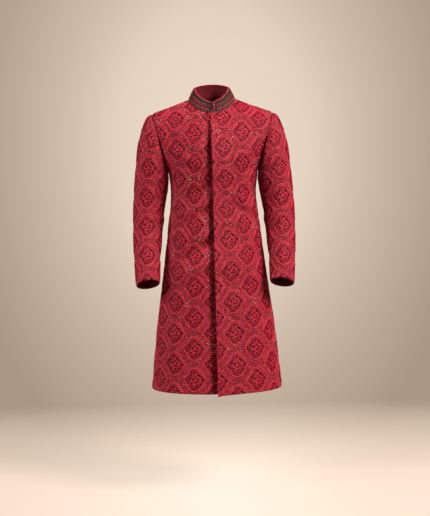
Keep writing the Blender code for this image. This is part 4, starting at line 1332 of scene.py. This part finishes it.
def band_materials():
    """In the order of the band's material numbers."""
    return [
        thread("band_ground", (14, 7, 6), (30, 18, 14), 380.0, 0.6, 0.0),
        thread("band_bronze", (22, 14, 11), (54, 41, 32), 420.0, 0.45, 0.0, 0.1),
        thread("band_glint", (58, 46, 36), (116, 98, 78), 420.0, 0.4, 0.0, 0.25),
        thread("band_red", (146, 14, 34), (206, 34, 56), 420.0, 0.45, 0.08),
        thread("band_dark", (12, 8, 7), (30, 22, 18), 420.0, 0.5, 0.0, 0.1),
    ]


def collar_wall(shares, start_x, low, high, free=()):
    """A strip of the collar as a shell, with its cloth coordinates."""
    grid = collar_rows(shares, start_x)
    normals = grid_normals(grid)
    wall = shell(grid, normals, low, high, (), free)
    return wall, CollarCloth(wall[-1], normals)


def build_band(materials):
    """The embroidered band, as one object: ropes and cords round a row of scrolls, on a dark strip."""
    low = COLLAR_WALL / 2 + BAND_GAP
    shares = np.linspace(BAND_LOW, BAND_HIGH, COLLAR_LEVELS + 1)
    wall, cloth = collar_wall(shares, COLLAR_MEET_X + BAND_INSET, low, low + BAND_THICK)
    work = Embroidery(cloth)
    faces = np.concatenate([wall[1][:, [0, 1, 2]], wall[1][:, [0, 2, 3]]])
    work.add(wall[0], faces, BAND_GROUND, np.concatenate([cloth.flat.reshape(-1, 2)] * 2))
    length, height = cloth.length / MM, cloth.height / MM
    end = length - BAND_STOP
    bronze = (BAND_BRONZE, BAND_GLINT, BAND_BRONZE)
    lay_rope(work, BAND_START, length - 2.0, 4.6, LOW_ROPE, 4.0, bronze)
    lay_rope(work, BAND_START, end, height - 3.2, HIGH_ROPE, 3.6, bronze)
    high_cord = height - 8.4
    cords = ((11.0, 3.0, BAND_RED, True), (high_cord, 1.3, BAND_BRONZE, True), (LOW_CORD, 1.3, BAND_BRONZE, False))
    for t, width, number, flat in cords:
        path = np.column_stack([np.linspace(BAND_START, end, CORD_POINTS), np.full(CORD_POINTS, t)])
        patch = Patch()
        patch.ridge(path, width, 1.0, number, flat=flat)
        work.lay(patch.done(), 0.0, 0.0)
    count = round((end - BAND_START) / SCROLL_PITCH)
    scroll = scroll_unit()
    for k in range(count):
        s = BAND_START + (k + 0.5) * (end - BAND_START) / count
        work.lay(scroll, s * MM, (LOW_CORD + high_cord) / 2 * MM)
    lay_rope(work, 1.0, height - 1.0, 3.4, END_ROPE, 3.6, (BAND_BRONZE,), 30, True)
    for s in (length - 3.2, length - 9.2):
        lay_rope(work, 8.5, height - 1.0, s, DARK_ROPE, 3.6, (BAND_DARK,), 30, True)
    return work.build("collar_band", materials)


def build_piping(material):
    """The red edge along the collar's top: a rolled cord with closed ends."""
    top = collar_rows([1.0], COLLAR_MEET_X + SEAM_GAP)[0]
    n = len(top)
    tangent = unit(np.gradient(top, axis=0))
    out = unit(np.cross(tangent, (0.0, 0.0, 1.0)))
    rise = np.cross(out, tangent)
    turn = np.linspace(0, 2 * math.pi, PIPING_SIDES, endpoint=False)
    rings = np.array([top + (out * math.cos(a) * PIPING_X + rise * math.sin(a) * PIPING_Z) for a in turn])
    index = np.arange(PIPING_SIDES * n).reshape(PIPING_SIDES, n)
    after = np.roll(index, -1, axis=0)
    sides = np.stack([index[:, :-1], after[:, :-1], after[:, 1:], index[:, 1:]], -1).reshape(-1, 4)
    ends = [ring[[0, k, k + 1, k + 2]] for ring in (index[::-1, 0], index[:, -1]) for k in (1, 3, 5)]
    uv = np.stack(np.broadcast_arrays(travelled(top), (turn * PIPING_Z)[:, None]), -1).reshape(-1, 2)
    faces = np.concatenate([sides, ends])
    return mesh_object("collar_piping", rings.reshape(-1, 3), faces, uv, np.zeros(len(faces)), [material], SHARP_STITCH)


def build_collar(ground, inside, materials):
    """The collar's cloth, its embroidered band and its piping."""
    shares = np.linspace(-COLLAR_TUCK, 1, COLLAR_LEVELS + 1)
    half = COLLAR_WALL / 2
    wall, cloth = collar_wall(shares, COLLAR_MEET_X + SEAM_GAP, -half, half, ("left", "right"))
    collar = cloth_object("collar_cloth", wall, cloth, [ground, inside])
    return collar, build_band(materials), build_piping(materials[BAND_RED])


# ---------------------------------------------------------------- the room

FLOOR_Z = -1.496
FLOOR_RINGS, FLOOR_SIDES = (2.1, 1.7, 1.2, 0.6), 96
FLOOR_FADE = (0.20, 1.60)  # where the floor starts to turn into the wall behind the coat, and where it has
FLOOR_EDGE = (0.45, 0.02)  # how far inside its edge it starts to fade out, and where it has
FLOOR_DARK, FLOOR_LIGHT = (116, 106, 97), (126, 115, 105)
FLOOR_GLOW, FLOOR_POWER = (219, 199, 182), 0.80
GLOW_SHAPE, GLOW_MIDDLE = (1.0, 0.0, 0.72), (0.0, 0.0, 0.036)  # the glow on the wall is taller than it is wide
GLOW = (  # how far each direction lies from the middle of the glow, and the wall's colour there
    (0.060, (232, 215, 197)),
    (0.100, (227, 209, 191)),
    (0.130, (214, 195, 177)),
    (0.167, (200, 181, 163)),
    (0.203, (187, 168, 150)),
    (0.250, (170, 151, 134)),
)
ROOM_LIGHT = 0.09  # the share of the wall's brightness that lights the coat
WARM, PALE = (1.0, 0.95, 0.9), (1.0, 0.97, 0.95)
LIGHTS = (  # name, place, the height of its target on the coat's middle line, size, power and colour
    ("key", (2.75, -1.7, 2.0), -0.4, 1.6, 350.0, WARM),
    ("side", (-3.35, -1.5, 1.3), -0.5, 1.6, 175.0, WARM),
    ("fill", (0.3, -3.8, 0.6), -0.6, 1.6, 9.0, PALE),
    ("back", (0.0, 3.8, 0.8), -0.5, 1.0, 110.0, WARM),
    ("top", (0.0, -1.0, 2.8), -0.5, 1.6, 20.0, WARM),
)
CAMERA_PLACE = (0.0012, -3.8, -0.379)
CAMERA_PITCH, CAMERA_ROLL = math.radians(90 - 3.36), math.radians(-1.05)
CAMERA_LENS, CAMERA_SENSOR = 68.86, 36.0


def area_light(name, place, target, size, power, colour):
    """A round light that faces its target."""
    data = bpy.data.lights.new(name, "AREA")
    data.shape, data.size, data.energy, data.color = "DISK", size, power, colour
    aim = unit(np.subtract(target, place))
    side = unit(np.cross(aim, (0.0, 0.0, 1.0)))
    turn = Matrix([list(side), list(np.cross(side, aim)), list(-aim)]).transposed().to_4x4()
    put(name, data).matrix_world = Matrix.Translation(place) @ turn


def build_floor():
    """A round studio floor that shines by itself, and fades out at its edge and behind the coat."""
    angle = np.linspace(0, 2 * math.pi, FLOOR_SIDES, endpoint=False)
    circle = np.column_stack([np.cos(angle), np.sin(angle)])
    flat = np.concatenate([circle * radius for radius in FLOOR_RINGS] + [[[0.0, 0.0]]])
    points = np.column_stack([flat, np.full(len(flat), FLOOR_Z)])
    faces = strip_faces(len(FLOOR_RINGS), FLOOR_SIDES, fan=True)
    shader = Shader("studio_floor", 0.6, Specular_IOR_Level=0.2)
    place = shader.node("ShaderNodeTexCoord").outputs["Object"]
    reach = shader.vector("LENGTH", shader.vector("ADD", place, (0.0, 0.0, -FLOOR_Z)))
    tone = shader.node("ShaderNodeTexNoise", {"Vector": place, "Scale": 1.3, "Detail": 4.0}).outputs["Fac"]
    shader.drive("Base Color", shader.mix(tone, srgb(*FLOOR_DARK), srgb(*FLOOR_LIGHT)))
    shader.principled.inputs["Emission Color"].default_value = srgb(*FLOOR_GLOW)
    shader.principled.inputs["Emission Strength"].default_value = FLOOR_POWER
    edge = shader.span(reach, *(FLOOR_RINGS[0] - inset for inset in FLOOR_EDGE), 1.0, 0.0)
    depth = shader.node("ShaderNodeSeparateXYZ", {0: place}).outputs["Y"]
    shader.drive("Alpha", shader.math("MULTIPLY", edge, shader.span(depth, *FLOOR_FADE, 1.0, 0.0)))
    floor = mesh_object("floor", points, faces, flat, np.zeros(len(faces)), [shader.material])


def build_wall():
    """The wall is the world's colour: a tall soft glow behind the coat. Only a share of it lights the coat."""
    world = bpy.data.worlds.new("studio")
    bpy.context.scene.world = world
    world.use_nodes = True
    nodes = Nodes(world.node_tree)
    background = nodes.tree.nodes["Background"].inputs
    way = nodes.node("ShaderNodeTexCoord").outputs["Generated"]
    from_middle = nodes.vector("SUBTRACT", nodes.vector("MULTIPLY", way, GLOW_SHAPE), GLOW_MIDDLE)
    ramp = nodes.node("ShaderNodeValToRGB", {0: nodes.vector("LENGTH", from_middle)})
    stops = ramp.color_ramp.elements
    for stop, (position, colour) in zip(stops, (GLOW[0], GLOW[-1])):
        stop.position, stop.color = position, srgb(*colour)
    for position, colour in GLOW[1:-1]:
        stops.new(position).color = srgb(*colour)
    nodes.tree.links.new(ramp.outputs[0], background["Color"])
    seen = nodes.node("ShaderNodeLightPath").outputs["Is Camera Ray"]
    strength = nodes.node("ShaderNodeMapRange", {"Value": seen, "To Min": ROOM_LIGHT})
    nodes.tree.links.new(strength.outputs["Result"], background["Strength"])


def build_camera():
    data = bpy.data.cameras.new("camera")
    data.lens, data.sensor_width, data.sensor_fit = CAMERA_LENS, CAMERA_SENSOR, "AUTO"
    camera = put("camera", data)
    turn = Matrix.Rotation(CAMERA_PITCH, 4, "X") @ Matrix.Rotation(CAMERA_ROLL, 4, "Z")
    camera.matrix_world = Matrix.Translation(CAMERA_PLACE) @ turn
    bpy.context.scene.camera = camera


def build_lights():
    for name, place, target_z, size, power, colour in LIGHTS:
        area_light(name, place, (0.0, 0.0, target_z), size, power, colour)


# ---------------------------------------------------------------- putting it together

MEDALLION, SPRIG, SEQUIN = medallion(), sprig(), sequin()


def main():
    bpy.context.scene.view_settings.view_transform = "Standard"
    ground, inside, stitching = ground_cloth(), inner_cloth(), stitching_materials()
    cloths = (ground, inside, stitching)
    grids = body_grids()
    normals = shared_normals(grids)
    grids = {name: grid - normals[name] * armhole_groove(name, grid)[..., None] for name, grid in grids.items()}
    normals = shared_normals(grids)
    for name, grid in grids.items():
        build = build_sleeve if name.startswith("sleeve") else build_panel
        made, stitched = build(name, grid, normals[name], cloths)
        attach(made, "root")
        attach(stitched, "root")
        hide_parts(name)
    collar, band, piping = build_collar(ground, inside, band_materials())
    for piece, slot in ((collar, "collar_cloth"), (band, "bronze_embroidery"), (piping, "collar_cloth")):
        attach(piece, "root")
    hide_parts("collar")
    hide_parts("collar_embroidery")
    build_floor()
    build_wall()
    build_camera()
    build_lights()


main()
